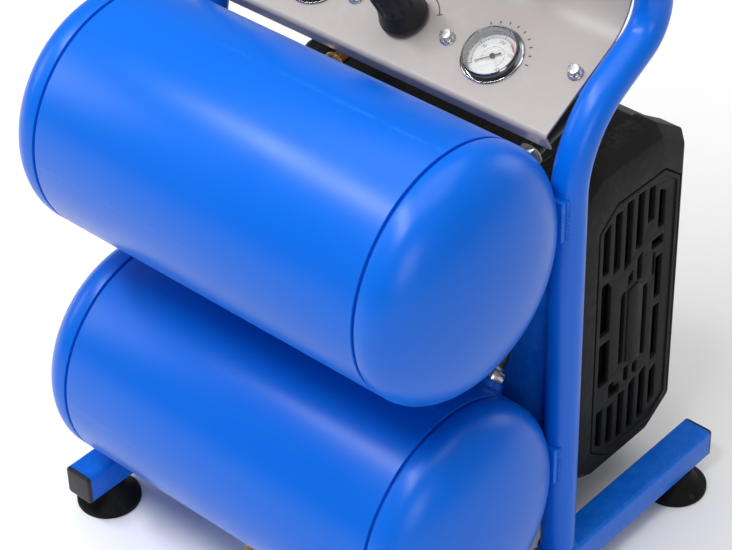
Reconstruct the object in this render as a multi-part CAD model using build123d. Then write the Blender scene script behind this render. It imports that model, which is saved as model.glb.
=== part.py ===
from build123d import *
from math import cos, radians, sin, tan
import os

# Twin-stack portable air compressor. Millimetres, +Z up, +X along the tanks, front of the machine at -Y.
# The origin is on the floor, under the centre of the whole machine.

# ---- overall places ----
TANK_Y = -93.5            # both tank axes
UPPER_Z = 350.0
LOWER_Z = 137.0
TUBE_X = 163.0            # uprights and base rails, left and right
LOW_Y = TANK_Y + 100.0    # upright tube below its bends
TOP_Y = TANK_Y + 183.0    # upright tube above its bends
PUMP_X = -80.0            # cylinder axis
MOTOR_Y = 104.0
MOTOR_Z = 150.0
SIDES = (-1, 1)

# ---- tanks ----
TANK_R = 90.0
TANK_WALL = 2.5
SEAM_X = 144.0
FLANGE_LEN = 7.0
DOME_LEN = 40.0
SEAM_BEVEL = 0.9
BUNG_R = 11.0
BUNG_H = 6.0
BUNG_BORE_R = 5.2
WELD_GAP = 0.05
PORTS = {                 # tank height, place along the tank, angle up from straight back
    "riser": (UPPER_Z, 128.0, 14.0),
    "check": (UPPER_Z, -62.0, 5.0),
    "link_top": (UPPER_Z, 120.0, -40.0),
    "link_low": (LOWER_Z, 120.0, 40.0),
    "drain": (LOWER_Z, 0.0, -118.0),
}

# ---- tube frame ----
TUBE_R = 12.5
TUBE_WALL = 1.8
LOW_BEND_R = 79.0
HIGH_BEND_R = 31.0
SLOPE_DEG = 28.0
SPLIT_Z = 535.0           # where the two uprights meet the top bar
BAR_Z = 606.0
BAR_BEND_R = 48.0
GRIP_R = 16.5
GRIP_HALF = 96.0
GRIP_RIDGES = 14

# ---- base rails and feet ----
RAIL = 25.0
RAIL_WALL = 2.0
RAIL_BOTTOM = 20.0
RAIL_TOP = RAIL_BOTTOM + RAIL
RAIL_FRONT = -167.5
RAIL_BACK = 183.5
CAP_T = 3.0
FOOT_R = 25.0
FOOT_TOP_R = 13.0
FOOT_YS = (-138.5, 154.5)
FOOT_BOLT_R = 4.0

# ---- plate between the uprights ----
PLATE_T = 3.0
PLATE_HALF = 150.3
PLATE_LOW = 70.0
PLATE_HIGH = 333.0
PLATE_FRONT = LOW_Y - PLATE_T

# ---- control panel ----
PANEL_HALF = 148.0
PANEL_T = 2.0
PANEL_FRONT_Y = TANK_Y + 93.0
PANEL_FRONT_Z = 403.5
PANEL_TOP = 540.0
PANEL_BEND_R = 42.0
LIP = 14.0                # folded square to the slope, down behind the upper tank
SLOPE_BOLTS = ((41.0, 34.5), (138.5, 48.5))     # distance from the centre, distance up the slope
TOP_BOLT = (138.5, 520.0)
GAUGE_X = 78.0
GAUGE_S = 36.3
KNOB_X = 3.3
KNOB_S = 35.5
COUPLER_X = 52.0
RISER_X = 106.0           # where the riser pipe climbs behind the panel
COUPLER_Z = 501.5
SWITCH_Z = 524.0
MANIFOLD_Y = TOP_Y - PANEL_T + 8.8
SWITCH_FRONT = TOP_Y + 3.0

# ---- gauges ----
FLANGE_R = 22.5
BEZEL_R = 20.0
CASE_R = 19.0
DIAL_R = 18.2
BEZEL_H = 8.0
CASE_DEPTH = 14.0
NEEDLE_LEN = 14.5
NEEDLE_REST_DEG = 222.0
POST_R = 0.8

# ---- hood over the motor and pump ----
HOOD_FRONT = 8.0
HOOD_BACK = 182.5
HOOD_LOW = 43.0
HOOD_HIGH = 329.0
HOOD_HALF = 112.0         # half length of the middle cover
HOOD_STEP = 2.0           # how far the end caps stand proud of it
CAP_FACE_X = 138.0
CAP_FLANGE_X = 116.0
CAP_SHOULDER_X = 130.0
CAP_FRONT = 43.5
CHAMFER_Y = 33.0
CHAMFER_Z = 22.0
BEVEL = 8.0
SKIN = 3.0
GRILLE_Y = 124.75         # middle of the grille
GRILLE_Z = 174.0
GRILLE_COLUMNS = (-37.0, -24.0, -11.0, 2.0, 15.0, 28.0)
SLOT_W = 6.6
HOOD_SCREW_Y = 24.0
HOOD_SCREW_ZS = (84.0, 290.0)

# ---- pump ----
THROW = 9.0
BORE_R = 23.5
PISTON_GAP = 0.06
ROD_LEN = 81.0
ROD_T = 12.0
WRIST_Z = MOTOR_Z + THROW + ROD_LEN
WRIST_R = 5.0
SHAFT_R = 6.0
CASE_TOP = 200.0
CYL_TOP = 262.0
HEAD_TOP = 292.0
RUN_GAP = 0.05
ISOLATORS = [(x, z) for x in (-78.0, 70.0) for z in (118.0, 182.0)]
OUTLET_X = PORTS["check"][1]
OUTLET_Y = 86.0
BEARING_XS = (-34.0, 74.0)
BEARING_R = 16.0

nodes = {}


# ---- small helpers ----
def block(x0, x1, y0, y1, z0, z1):
    size = Box(x1 - x0, y1 - y0, z1 - z0)
    return Pos((x0 + x1) / 2, (y0 + y1) / 2, (z0 + z1) / 2) * size


def bar_x(x0, x1, y, z, r):
    return Pos((x0 + x1) / 2, y, z) * Rot(0, 90, 0) * Cylinder(r, abs(x1 - x0))


def bar_y(x, y0, y1, z, r):
    return Pos(x, (y0 + y1) / 2, z) * Rot(90, 0, 0) * Cylinder(r, abs(y1 - y0))


def bar_z(x, y, z0, z1, r):
    return Pos(x, y, (z0 + z1) / 2) * Cylinder(r, abs(z1 - z0))


def hex_bar(plane, across, h0, h1):
    """Hexagonal bar along the plane's normal, from height h0 to h1."""
    outline = plane.offset(h0) * RegularPolygon(across / 2, 6, major_radius=False)
    return extrude(outline, h1 - h0, dir=plane.z_dir)


def disc(plane, r, h0, h1, r_top=None):
    """Round bar or cone along the plane's normal, from height h0 to h1."""
    solid = Cone(r, r_top, h1 - h0) if r_top and r_top != r else Cylinder(r, h1 - h0)
    return plane.offset((h0 + h1) / 2).location * solid


def group(solids):
    return Compound(children=list(solids))


def bent_bar(points, bend, r):
    """Solid round bar that follows the points; the bend is one radius, or a list of them."""
    path = FilletPolyline(*points, radius=bend)
    start = Plane(origin=path @ 0, z_dir=path % 0)
    return sweep(start * Circle(r), path=path)


def bent_tube(points, bend, r, wall):
    return bent_bar(points, bend, r) - bent_bar(points, bend, r - wall)


def slope_plane(x, s, side=0.0):
    """Plane on the sloping part of the panel, s up the slope, with its normal facing the user."""
    up = radians(SLOPE_DEG)
    y = PANEL_FRONT_Y + s * cos(up) - side * sin(up)
    z = PANEL_FRONT_Z + s * sin(up) + side * cos(up)
    return Plane(origin=(x, y, z), x_dir=(1, 0, 0), z_dir=(0, -sin(up), cos(up)))


def front_plane(x, z, y):
    """Upright plane that faces the user."""
    return Plane(origin=(x, y, z), x_dir=(1, 0, 0), z_dir=(0, -1, 0))


def tank_plane(tank_z, x, angle):
    """Plane on the tank's skin; the angle runs from straight back, upwards."""
    out = Vector(0, cos(radians(angle)), sin(radians(angle)))
    skin = Vector(x, TANK_Y, tank_z) + out * TANK_R
    return Plane(origin=skin, x_dir=(1, 0, 0), z_dir=out)


# ---- tanks ----
def tank_shell(z):
    inner = TANK_R - TANK_WALL
    outline = Polyline((-SEAM_X, inner), (-SEAM_X, TANK_R - SEAM_BEVEL), (-SEAM_X + SEAM_BEVEL, TANK_R),
                       (SEAM_X - SEAM_BEVEL, TANK_R), (SEAM_X, TANK_R - SEAM_BEVEL), (SEAM_X, inner),
                       close=True)
    shell = Pos(0, TANK_Y, z) * revolve(make_face(outline), Axis.X)
    for name, (tank_z, x, angle) in PORTS.items():
        if tank_z == z:
            shell -= disc(port_plane(name), BUNG_BORE_R, -8, 2)
    return shell


def dome(r, depth, x0):
    """Solid tank end: a straight flange from x0, then half an ellipse to its tip."""
    x1 = SEAM_X + FLANGE_LEN
    arc = EllipticalCenterArc((x1, 0), depth, r, start_angle=0, arc_size=90)
    rest = Polyline((x1, r), (x0, r), (x0, 0), (x1 + depth, 0))
    return revolve(make_face([arc, rest]), Axis.X)


def place_head(shape, z, side):
    shape = shape if side > 0 else mirror(shape, Plane.YZ)
    return Pos(0, TANK_Y, z) * shape


def tank_head(z, side):
    outer = dome(TANK_R, DOME_LEN, SEAM_X)
    outer = chamfer(outer.edges().sort_by(Axis.X)[0], SEAM_BEVEL)
    inner = dome(TANK_R - TANK_WALL, DOME_LEN - TANK_WALL, SEAM_X - 1)
    return place_head(outer - inner, z, side)


def head_blank(z, side):
    """Filled head, a hair oversize, used to cut the weld pads to the dome's shape."""
    return place_head(dome(TANK_R + WELD_GAP, DOME_LEN + WELD_GAP, SEAM_X), z, side)


def port_plane(name):
    return tank_plane(*PORTS[name])


def tank_bungs():
    bungs = []
    for name, (tank_z, x, angle) in PORTS.items():
        plane = port_plane(name)
        boss = disc(plane, BUNG_R, -4, BUNG_H) - disc(plane, BUNG_BORE_R, -6, BUNG_H + 1)
        boss -= bar_x(x - 20, x + 20, TANK_Y, tank_z, TANK_R + WELD_GAP)
        bungs.append(boss)
    return group(bungs)


for tank, tank_z in (("upper", UPPER_Z), ("lower", LOWER_Z)):
    nodes[tank + "_tank_shell"] = tank_shell(tank_z)
    nodes[tank + "_tank_left_head"] = tank_head(tank_z, -1)
    nodes[tank + "_tank_right_head"] = tank_head(tank_z, 1)
nodes["tank_bungs"] = tank_bungs()


# ---- frame ----
def slope_corners():
    """Corner points of the upright's centre line where the slope begins and ends."""
    rise = tan(radians(SLOPE_DEG))
    low_z = PANEL_FRONT_Z + (LOW_Y - PANEL_FRONT_Y) * rise
    high_z = low_z + (TOP_Y - LOW_Y) * rise
    return low_z, high_z


def upright(side):
    low_z, high_z = slope_corners()
    x = side * TUBE_X
    points = [(x, LOW_Y, RAIL_TOP), (x, LOW_Y, low_z), (x, TOP_Y, high_z), (x, TOP_Y, SPLIT_Z)]
    bends = [LOW_BEND_R, HIGH_BEND_R]
    post = bent_bar(points, bends, TUBE_R)
    hollow = bent_bar(points, bends, TUBE_R - TUBE_WALL)
    pad_y = LOW_Y - TUBE_R
    for tank_z in (UPPER_Z, LOWER_Z):
        post += block(x - 7, x + 7, pad_y - 6, pad_y + 6, tank_z - 16, tank_z + 16)
        post -= head_blank(tank_z, side)
    inner_x = side * 128.0
    tab_s = SLOPE_BOLTS[1][1]
    tab_x = (inner_x + x) / 2
    tab = slope_plane(tab_x, tab_s, -3.1).location * Box(abs(x - inner_x), 24, 4)
    post += tab
    top_tab = block(min(x, inner_x), max(x, inner_x), TOP_Y + 0.1, TOP_Y + 4.1,
                    TOP_BOLT[1] - 12, TOP_BOLT[1] + 12)
    post += top_tab
    post -= hollow
    post -= disc(slope_plane(side * SLOPE_BOLTS[1][0], tab_s), 3.3, -8, 0)
    post -= bar_y(side * TOP_BOLT[0], TOP_Y, TOP_Y + 8, TOP_BOLT[1], 3.3)
    return post


def handle_bar():
    x = TUBE_X
    points = [(-x, TOP_Y, SPLIT_Z), (-x, TOP_Y, BAR_Z), (x, TOP_Y, BAR_Z), (x, TOP_Y, SPLIT_Z)]
    return bent_tube(points, BAR_BEND_R, TUBE_R, TUBE_WALL)


def handle_grip():
    grip = bar_x(-GRIP_HALF, GRIP_HALF, TOP_Y, BAR_Z, GRIP_R)
    grip = fillet(grip.edges().filter_by(GeomType.CIRCLE), 2.0)
    pitch = 2 * (GRIP_HALF - 12) / GRIP_RIDGES
    for i in range(GRIP_RIDGES + 1):
        x = -GRIP_HALF + 12 + i * pitch
        ring = bar_x(x - 1.5, x + 1.5, TOP_Y, BAR_Z, GRIP_R + 2) - bar_x(x - 2, x + 2, TOP_Y, BAR_Z, GRIP_R - 0.9)
        grip -= ring
    return grip - bar_x(-GRIP_HALF - 1, GRIP_HALF + 1, TOP_Y, BAR_Z, TUBE_R)


def square_tube(x, y0, y1):
    half = RAIL / 2
    centre = Plane(origin=(x, y0, RAIL_BOTTOM + half), x_dir=(1, 0, 0), z_dir=(0, 1, 0))
    outer = extrude(centre * RectangleRounded(RAIL, RAIL, 3.0), y1 - y0)
    inner = extrude(centre * RectangleRounded(RAIL - 2 * RAIL_WALL, RAIL - 2 * RAIL_WALL, 1.5), y1 - y0)
    return outer - inner


def base_rail(side):
    x = side * TUBE_X
    rail = square_tube(x, RAIL_FRONT + CAP_T, RAIL_BACK - CAP_T)
    for y in FOOT_YS:
        rail -= bar_z(x, y, RAIL_BOTTOM - 1, RAIL_BOTTOM + RAIL_WALL + 1, FOOT_BOLT_R)
    return rail


def rail_end_caps():
    caps = []
    plug = RAIL - 2 * RAIL_WALL - 0.6
    for side in SIDES:
        x = side * TUBE_X
        mid = RAIL_BOTTOM + RAIL / 2
        for y, out in ((RAIL_FRONT, 1), (RAIL_BACK, -1)):
            face = Plane(origin=(x, y, mid), x_dir=(1, 0, 0), z_dir=(0, out, 0))
            cap = extrude(face * RectangleRounded(RAIL, RAIL, 3.0), CAP_T)
            cap += extrude(face.offset(CAP_T) * RectangleRounded(plug, plug, 1.2), 12)
            caps.append(cap)
    return group(caps)


def rubber_foot(x, y):
    outline = Polyline((0, 0), (FOOT_R - 1, 0), (FOOT_R, 1.5), (FOOT_R, 4), (FOOT_R - 5, 8.5),
                       (FOOT_TOP_R + 1, 15), (FOOT_TOP_R, RAIL_BOTTOM), (0, RAIL_BOTTOM), close=True)
    foot = revolve(Plane.XZ * make_face(outline), Axis.Z)
    foot -= bar_z(0, 0, -1, 9, 9.0) + bar_z(0, 0, -1, RAIL_BOTTOM + 1, FOOT_BOLT_R)
    return Pos(x, y, 0) * foot


def foot_bolt(x, y):
    head = hex_bar(Plane(origin=(x, y, 0)), 13, 4, 9)
    shank = bar_z(x, y, 9, 32, FOOT_BOLT_R)
    nut = hex_bar(Plane(origin=(x, y, 0)), 13, RAIL_BOTTOM + RAIL_WALL, RAIL_BOTTOM + RAIL_WALL + 6)
    return head + shank + nut


def mount_plate():
    plate = block(-PLATE_HALF, PLATE_HALF, PLATE_FRONT, LOW_Y, PLATE_LOW, PLATE_HIGH)
    for z0 in (PLATE_LOW, PLATE_HIGH - PLATE_T):
        plate += block(-140, 140, LOW_Y, LOW_Y + 1.4, z0, z0 + PLATE_T)
    for x, z in ISOLATORS:
        plate -= bar_y(x, PLATE_FRONT - 1, LOW_Y + 1, z, 3.2)
    return plate


nodes["left_upright"] = upright(-1)
nodes["right_upright"] = upright(1)
nodes["handle_bar"] = handle_bar()
nodes["handle_grip"] = handle_grip()
nodes["left_base_rail"] = base_rail(-1)
nodes["right_base_rail"] = base_rail(1)
nodes["rail_end_caps"] = rail_end_caps()
nodes["rubber_feet"] = group(rubber_foot(s * TUBE_X, y) for s in SIDES for y in FOOT_YS)
nodes["foot_bolts"] = group(foot_bolt(s * TUBE_X, y) for s in SIDES for y in FOOT_YS)
nodes["mount_plate"] = mount_plate()


# ---- control panel ----
def panel_outline():
    """Centre path of the folded sheet, as corner points in the YZ plane."""
    up = radians(SLOPE_DEG)
    back_y = TOP_Y - PANEL_T / 2
    rise = (back_y - PANEL_FRONT_Y) * tan(up)
    return [(PANEL_FRONT_Y + LIP * sin(up), PANEL_FRONT_Z - LIP * cos(up)), (PANEL_FRONT_Y, PANEL_FRONT_Z),
            (back_y, PANEL_FRONT_Z + rise), (back_y, PANEL_TOP)]


def control_panel():
    path = FilletPolyline(*[Plane.YZ.from_local_coords(corner) for corner in panel_outline()],
                          radius=[3.0, PANEL_BEND_R])
    start = Plane(origin=path @ 0, x_dir=(1, 0, 0), z_dir=path % 0)
    sheet = sweep(start * Rectangle(2 * PANEL_HALF, PANEL_T), path=path)
    for side in SIDES:
        for x, s in SLOPE_BOLTS:
            sheet -= disc(slope_plane(side * x, s), 3.3, -4, 4)
        sheet -= disc(slope_plane(side * GAUGE_X, GAUGE_S), CASE_R + 0.3, -4, 4)
        sheet -= bar_y(side * TOP_BOLT[0], TOP_Y - 5, TOP_Y + 2, TOP_BOLT[1], 3.3)
        sheet -= bar_y(side * COUPLER_X, TOP_Y - 5, TOP_Y + 2, COUPLER_Z, 7.2)
    sheet -= disc(slope_plane(KNOB_X, KNOB_S), 12.3, -4, 4)
    sheet -= bar_y(0, TOP_Y - 5, TOP_Y + 2, SWITCH_Z, 6.4)
    return sheet


def flange_bolt(plane, length):
    """Small flanged hex bolt that sits on the plane and reaches below it."""
    bolt = disc(plane, 5.6, 1.1, 2.4) + hex_bar(plane, 7.6, 2.4, 7.2)
    return bolt + disc(plane, 3.0, 1.1 - length, 1.1)


def panel_bolts():
    bolts = []
    for side in SIDES:
        for x, s in SLOPE_BOLTS:
            bolts.append(flange_bolt(slope_plane(side * x, s), 12))
        bolts.append(flange_bolt(front_plane(side * TOP_BOLT[0], TOP_BOLT[1], TOP_Y - PANEL_T / 2), 12))
    return group(bolts)


nodes["control_panel"] = control_panel()
nodes["panel_bolts"] = panel_bolts()


# ---- gauges ----
def gauge_plane(side):
    return slope_plane(side * GAUGE_X, GAUGE_S)


def gauge_case(plane):
    case = disc(plane, BEZEL_R, 1.1, BEZEL_H)
    case = fillet(case.edges().sort_by(Axis(plane.origin, plane.z_dir))[-1], 0.8)
    case += disc(plane, FLANGE_R, 1.1, 2.3) + disc(plane, CASE_R, -CASE_DEPTH, 1.1)
    case += disc(plane, 5, -CASE_DEPTH - 8, -CASE_DEPTH)
    return case - disc(plane, DIAL_R + 0.1, -1.5, BEZEL_H + 1)


def gauge_dial(plane):
    return disc(plane, DIAL_R, -1.4, -0.4) + disc(plane, POST_R, -0.4, 1.9)


def gauge_needle(plane):
    hub = disc(plane, 1.9, 0.4, 1.7)
    pointer = plane.offset(1.0).location * Rot(0, 0, NEEDLE_REST_DEG) * Pos(NEEDLE_LEN / 2 - 3, 0, 0)
    blade = pointer * Box(NEEDLE_LEN + 6, 0.9, 0.7)
    return hub + blade - disc(plane, POST_R + RUN_GAP, 0, 3)


def gauge_lens(plane):
    return disc(plane, DIAL_R, 6.2, 7.6)


for gauge, side in (("tank", -1), ("outlet", 1)):
    nodes[gauge + "_gauge_case"] = gauge_case(gauge_plane(side))
    nodes[gauge + "_gauge_dial"] = gauge_dial(gauge_plane(side))
    nodes[gauge + "_gauge_needle"] = gauge_needle(gauge_plane(side))
nodes["gauge_lenses"] = group(gauge_lens(gauge_plane(side)) for side in SIDES)


# ---- regulator ----
def regulator_body():
    plane = slope_plane(KNOB_X, KNOB_S)
    body = disc(plane, 18, -34, -8) + disc(plane, 12, -8, 1.1) + disc(plane, 14, 1.1, 3.6)
    body += disc(plane, 8, 3.6, 20)
    body += hex_bar(plane, 24, -42, -34)
    return body


def regulator_knob():
    plane = slope_plane(KNOB_X, KNOB_S)
    knob = disc(plane, 17.3, 4.2, 8) + disc(plane, 17.3, 8, 20, 14.3) + disc(plane, 14.3, 20, 44, 15.4)
    knob = fillet(knob.edges().sort_by(Axis(plane.origin, plane.z_dir))[-1], 3.0)
    for i in range(12):
        flute = plane.location * Rot(0, 0, 30 * i) * Pos(16.4, 0, 32) * Cylinder(2.2, 20)
        knob -= flute
    return knob - disc(plane, 8 + RUN_GAP, 4, 21)


nodes["regulator_body"] = regulator_body()
nodes["regulator_knob"] = regulator_knob()


# ---- couplers on the upright part of the panel ----
def coupler_plane(side):
    return front_plane(side * COUPLER_X, COUPLER_Z, TOP_Y - PANEL_T)


def coupler_body(side):
    plane = coupler_plane(side)
    body = hex_bar(plane, 22, 0.1, 9) + disc(plane, 8.2, 9, 46) + disc(plane, 9.4, 44.4, 46)
    body += disc(plane, 6.8, -8.8, 0.1)
    return body - disc(plane, 6.0, 24, 47) - disc(plane, 3.0, -10, 25)


def coupler_sleeve(side):
    plane = coupler_plane(side)
    sleeve = disc(plane, 12, 19, 43.8)
    for h in (23, 26, 29, 32, 35):
        sleeve -= disc(plane, 13, h, h + 1.2) - disc(plane, 11.5, h, h + 1.2)
    return sleeve - disc(plane, 8.3, 18, 45)


for name, side in (("left", -1), ("right", 1)):
    nodes[name + "_coupler_body"] = coupler_body(side)
    nodes[name + "_coupler_sleeve"] = coupler_sleeve(side)


# ---- manifold, pressure switch and pipes behind the panel ----
def manifold():
    y0 = MANIFOLD_Y
    rail = block(-72, 72, y0, y0 + 18, COUPLER_Z - 9, COUPLER_Z + 9)
    rail += bar_y(0, y0 + 18, y0 + 30, COUPLER_Z, 8)
    for x in (-COUPLER_X, COUPLER_X):
        rail -= bar_y(x, y0 - 1, y0 + 9, COUPLER_Z, 3.0)
    rail -= bar_x(-73, 73, y0 + 9, COUPLER_Z, 3.6)
    return rail


def pressure_switch_body():
    y0 = SWITCH_FRONT
    body = block(-34, 34, y0, y0 + 46, COUPLER_Z + 9.3, COUPLER_Z + 44)
    body = fillet(body.edges().filter_by(Axis.Y), 4.0)
    body += block(-14, 14, y0 + 24, y0 + 44, COUPLER_Z - 12, COUPLER_Z + 12)
    body -= block(-15, 15, MANIFOLD_Y - 1, MANIFOLD_Y + 30.3, COUPLER_Z - 13, COUPLER_Z + 9.3)
    return body - bar_y(0, y0 - 1, y0 + 14, SWITCH_Z, 5.05)


def pressure_switch_knob():
    plane = front_plane(0, SWITCH_Z, TOP_Y - PANEL_T / 2)
    cap = disc(plane, 15.0, 8, 20, 13.6)
    cap = fillet(cap.edges().sort_by(Axis(plane.origin, plane.z_dir))[-1], 2.0)
    return cap + disc(plane, 5.0, -8.5, 8)


def cord_gland():
    y = SWITCH_FRONT + 30
    z = COUPLER_Z + 27
    flange = hex_bar(Plane(origin=(-34, y, z), x_dir=(0, 1, 0), z_dir=(-1, 0, 0)), 19, 0, 5)
    nose = bar_x(-52, -39, y, z, 8) - bar_x(-53, -34, y, z, 4.2)
    return flange + nose - bar_x(-53, -33, y, z, 4.2)


def air_pipes():
    """Riser from the upper tank, feed to the regulator, and the link between the tanks."""
    port = port_plane("riser")
    start = port.origin + port.z_dir * (BUNG_H + 12)
    x = PORTS["riser"][1]
    back = MANIFOLD_Y + 9
    low_z = start.Z + (back - start.Y) * port.z_dir.Z / port.z_dir.Y
    path = [tuple(start), (x, back, low_z), (RISER_X, back, low_z + x - RISER_X), (RISER_X, back, COUPLER_Z - 14),
            (RISER_X - 14, back, COUPLER_Z), (82, back, COUPLER_Z)]
    riser = bent_bar(path, 12.0, 5.0)
    reg = slope_plane(KNOB_X, KNOB_S)
    bottom = reg.origin - reg.z_dir * 42
    elbow = bottom - reg.z_dir * 16
    line = [tuple(bottom), tuple(elbow), (KNOB_X, back, elbow.Z), (KNOB_X, back, COUPLER_Z - 9)]
    feed = bent_bar(line, 12.0, 5.0)
    top = port_plane("link_top")
    low = port_plane("link_low")
    points = [top.origin + top.z_dir * 14, top.origin + top.z_dir * 25,
              low.origin + low.z_dir * 25, low.origin + low.z_dir * 14]
    link = bent_bar([tuple(p) for p in points], 9.0, 5.0)
    return group([riser, feed, link])


def pipe_fittings():
    """Brass nuts where the pipes enter the tanks and the manifold."""
    port = port_plane("riser")
    tank_nut = hex_bar(port, 17, BUNG_H, BUNG_H + 12) + disc(port, 5.0, -4, BUNG_H)
    back = MANIFOLD_Y + 9
    side = Plane(origin=(72, back, COUPLER_Z), x_dir=(0, 1, 0), z_dir=(1, 0, 0))
    end_nut = hex_bar(side, 15, 0, 10)
    nuts = [tank_nut, end_nut]
    for name in ("link_top", "link_low"):
        plane = port_plane(name)
        nuts.append(hex_bar(plane, 17, BUNG_H, BUNG_H + 8) + disc(plane, 5.0, -4, BUNG_H))
    return group(nuts)


def safety_valve_body():
    side = Plane(origin=(-72, MANIFOLD_Y + 9, COUPLER_Z), x_dir=(0, 1, 0), z_dir=(-1, 0, 0))
    body = hex_bar(side, 15, 0, 8) + disc(side, 6, 8, 26)
    return body - disc(side, 2.05, 10, 27)


def safety_valve_pull():
    side = Plane(origin=(-72, MANIFOLD_Y + 9, COUPLER_Z), x_dir=(0, 1, 0), z_dir=(-1, 0, 0))
    stem = disc(side, 2.0, 12, 31)
    ring = side.offset(38).location * Rot(90, 0, 0) * Torus(8, 1.3)
    return stem + ring


nodes["manifold"] = manifold()
nodes["pressure_switch_body"] = pressure_switch_body()
nodes["pressure_switch_knob"] = pressure_switch_knob()
nodes["cord_gland"] = cord_gland()
nodes["air_pipes"] = air_pipes()
nodes["pipe_fittings"] = pipe_fittings()
nodes["safety_valve_body"] = safety_valve_body()
nodes["safety_valve_pull"] = safety_valve_pull()


# ---- check valve and drain ----
def check_valve():
    plane = port_plane("check")
    body = disc(plane, 5.0, -4, BUNG_H) + hex_bar(plane, 20, BUNG_H, BUNG_H + 14)
    return body + disc(plane, 8, BUNG_H + 14, BUNG_H + 26)


def discharge_pipe():
    plane = port_plane("check")
    start = plane.origin + plane.z_dir * (BUNG_H + 26)
    turn = Vector(OUTLET_X, OUTLET_Y, start.Z + (OUTLET_Y - start.Y) * plane.z_dir.Z / plane.z_dir.Y)
    return bent_bar([tuple(start), tuple(turn), (OUTLET_X, OUTLET_Y, HEAD_TOP)], 20.0, 5.0)


def drain_valve_body():
    plane = port_plane("drain")
    body = disc(plane, 5.0, -4, BUNG_H) + hex_bar(plane, 15, BUNG_H, BUNG_H + 8)
    body += disc(plane, 6, BUNG_H + 8, BUNG_H + 15)
    return body - disc(plane, 2.5, BUNG_H + 6, BUNG_H + 16)


def drain_valve_wing():
    plane = port_plane("drain")
    stem = disc(plane, 2.45, BUNG_H + 7, BUNG_H + 20)
    wing = Box(26, 3.2, 9)
    wing = fillet(wing.edges().filter_by(Axis.Y), 3.0)
    return stem + plane.offset(BUNG_H + 23).location * wing


nodes["check_valve"] = check_valve()
nodes["discharge_pipe"] = discharge_pipe()
nodes["drain_valve_body"] = drain_valve_body()
nodes["drain_valve_wing"] = drain_valve_wing()


# ---- hood ----
def octagon(y0, y1, z0, z1, dy, dz, front=True):
    """Corner points of the hood's side outline; the front corners can stay square."""
    cut = (dy, dz) if front else (0.0, 0.0)
    points = [(y0, z0 + cut[1]), (y0 + cut[0], z0), (y1 - dy, z0), (y1, z0 + dz),
              (y1, z1 - dz), (y1 - dy, z1), (y0 + cut[0], z1), (y0, z1 - cut[1])]
    return points if front else [points[0]] + points[2:7]


def side_face(points, x):
    outline = Polyline(*[(x, y, z) for y, z in points], close=True)
    return make_face(outline)


def hood_cover():
    high = HOOD_HIGH - HOOD_STEP
    low = HOOD_LOW + HOOD_STEP
    back = HOOD_BACK - HOOD_STEP
    outer = octagon(HOOD_FRONT, back, low, high, CHAMFER_Y, CHAMFER_Z, False)
    inner = octagon(HOOD_FRONT - 1, back - SKIN, low + SKIN, high - SKIN, CHAMFER_Y, CHAMFER_Z, False)
    shell = extrude(side_face(outer, -HOOD_HALF), 2 * HOOD_HALF, dir=(1, 0, 0))
    hollow = extrude(side_face(inner, -HOOD_HALF - 1), 2 * HOOD_HALF + 2, dir=(1, 0, 0))
    shell -= hollow
    shell -= bar_z(OUTLET_X, OUTLET_Y, high - 10, high + 5, 8)
    for i in range(7):
        z = HOOD_LOW + 92 + i * 17
        shell -= block(-70, 70, back - 6, back + 1, z - 3, z + 3)
    return shell


def grille_slots():
    """Slots of one grille, as (front, back, low, high) about its middle."""
    half = SLOT_W / 2
    upper = [(60, 98), (56, 107), (52, 110), (63, 110), (79, 108), (67, 99)]
    lower = [(-100, -70), (-108, -70), (-110, -66), (-110, -63), (-108, -61), (-102, -67)]
    slots = []
    for spans in (upper, lower):
        slots += [(y - half, y + half, low, high) for y, (low, high) in zip(GRILLE_COLUMNS, spans)]
    slots += [(18, 31, 50, 58), (-40, -30, 4, 46), (-40, -29, -44, -4), (-27, -14, -62, -54), (-27, -21, -54, -49),
              (-16.5, -11.5, -36, 28), (10.5, 15.5, -42, 22), (-9, -3.5, 33, 42), (1.5, 7, 33, 53),
              (-9, -3.5, -56, -45), (1.5, 7, -54, -47), (25, 31, 2, 40), (25, 31, -58, -6), (19.5, 22.5, 27, 46)]
    return slots


def end_cap(side):
    points = octagon(CAP_FRONT, HOOD_BACK, HOOD_LOW, HOOD_HIGH, CHAMFER_Y, CHAMFER_Z)
    face = octagon(CAP_FRONT + BEVEL, HOOD_BACK - BEVEL, HOOD_LOW + BEVEL, HOOD_HIGH - BEVEL,
                   CHAMFER_Y - 1, CHAMFER_Z - 1)
    inside = octagon(CAP_FRONT + SKIN, HOOD_BACK - SKIN, HOOD_LOW + SKIN, HOOD_HIGH - SKIN,
                     CHAMFER_Y - 1, CHAMFER_Z - 1)
    flange = octagon(HOOD_FRONT, HOOD_BACK - 2, HOOD_LOW + 2, HOOD_HIGH - 2, CHAMFER_Y, CHAMFER_Z, False)
    cap = extrude(side_face(flange, HOOD_HALF), CAP_FLANGE_X - HOOD_HALF, dir=(1, 0, 0))
    cap += extrude(side_face(points, HOOD_HALF), CAP_SHOULDER_X - HOOD_HALF, dir=(1, 0, 0))
    cap += loft([side_face(points, CAP_SHOULDER_X), side_face(face, CAP_FACE_X)])
    cap -= extrude(side_face(inside, HOOD_HALF - 1), CAP_SHOULDER_X - HOOD_HALF, dir=(1, 0, 0))
    for front, back, low, high in grille_slots():
        cap -= block(CAP_SHOULDER_X - 6, CAP_FACE_X + 1, GRILLE_Y + front, GRILLE_Y + back,
                     GRILLE_Z + low, GRILLE_Z + high)
    for z in HOOD_SCREW_ZS:
        cap -= bar_x(HOOD_HALF - 1, CAP_FLANGE_X + 1, HOOD_SCREW_Y, z, 2.2)
    return cap if side > 0 else mirror(cap, Plane.YZ)


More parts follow.
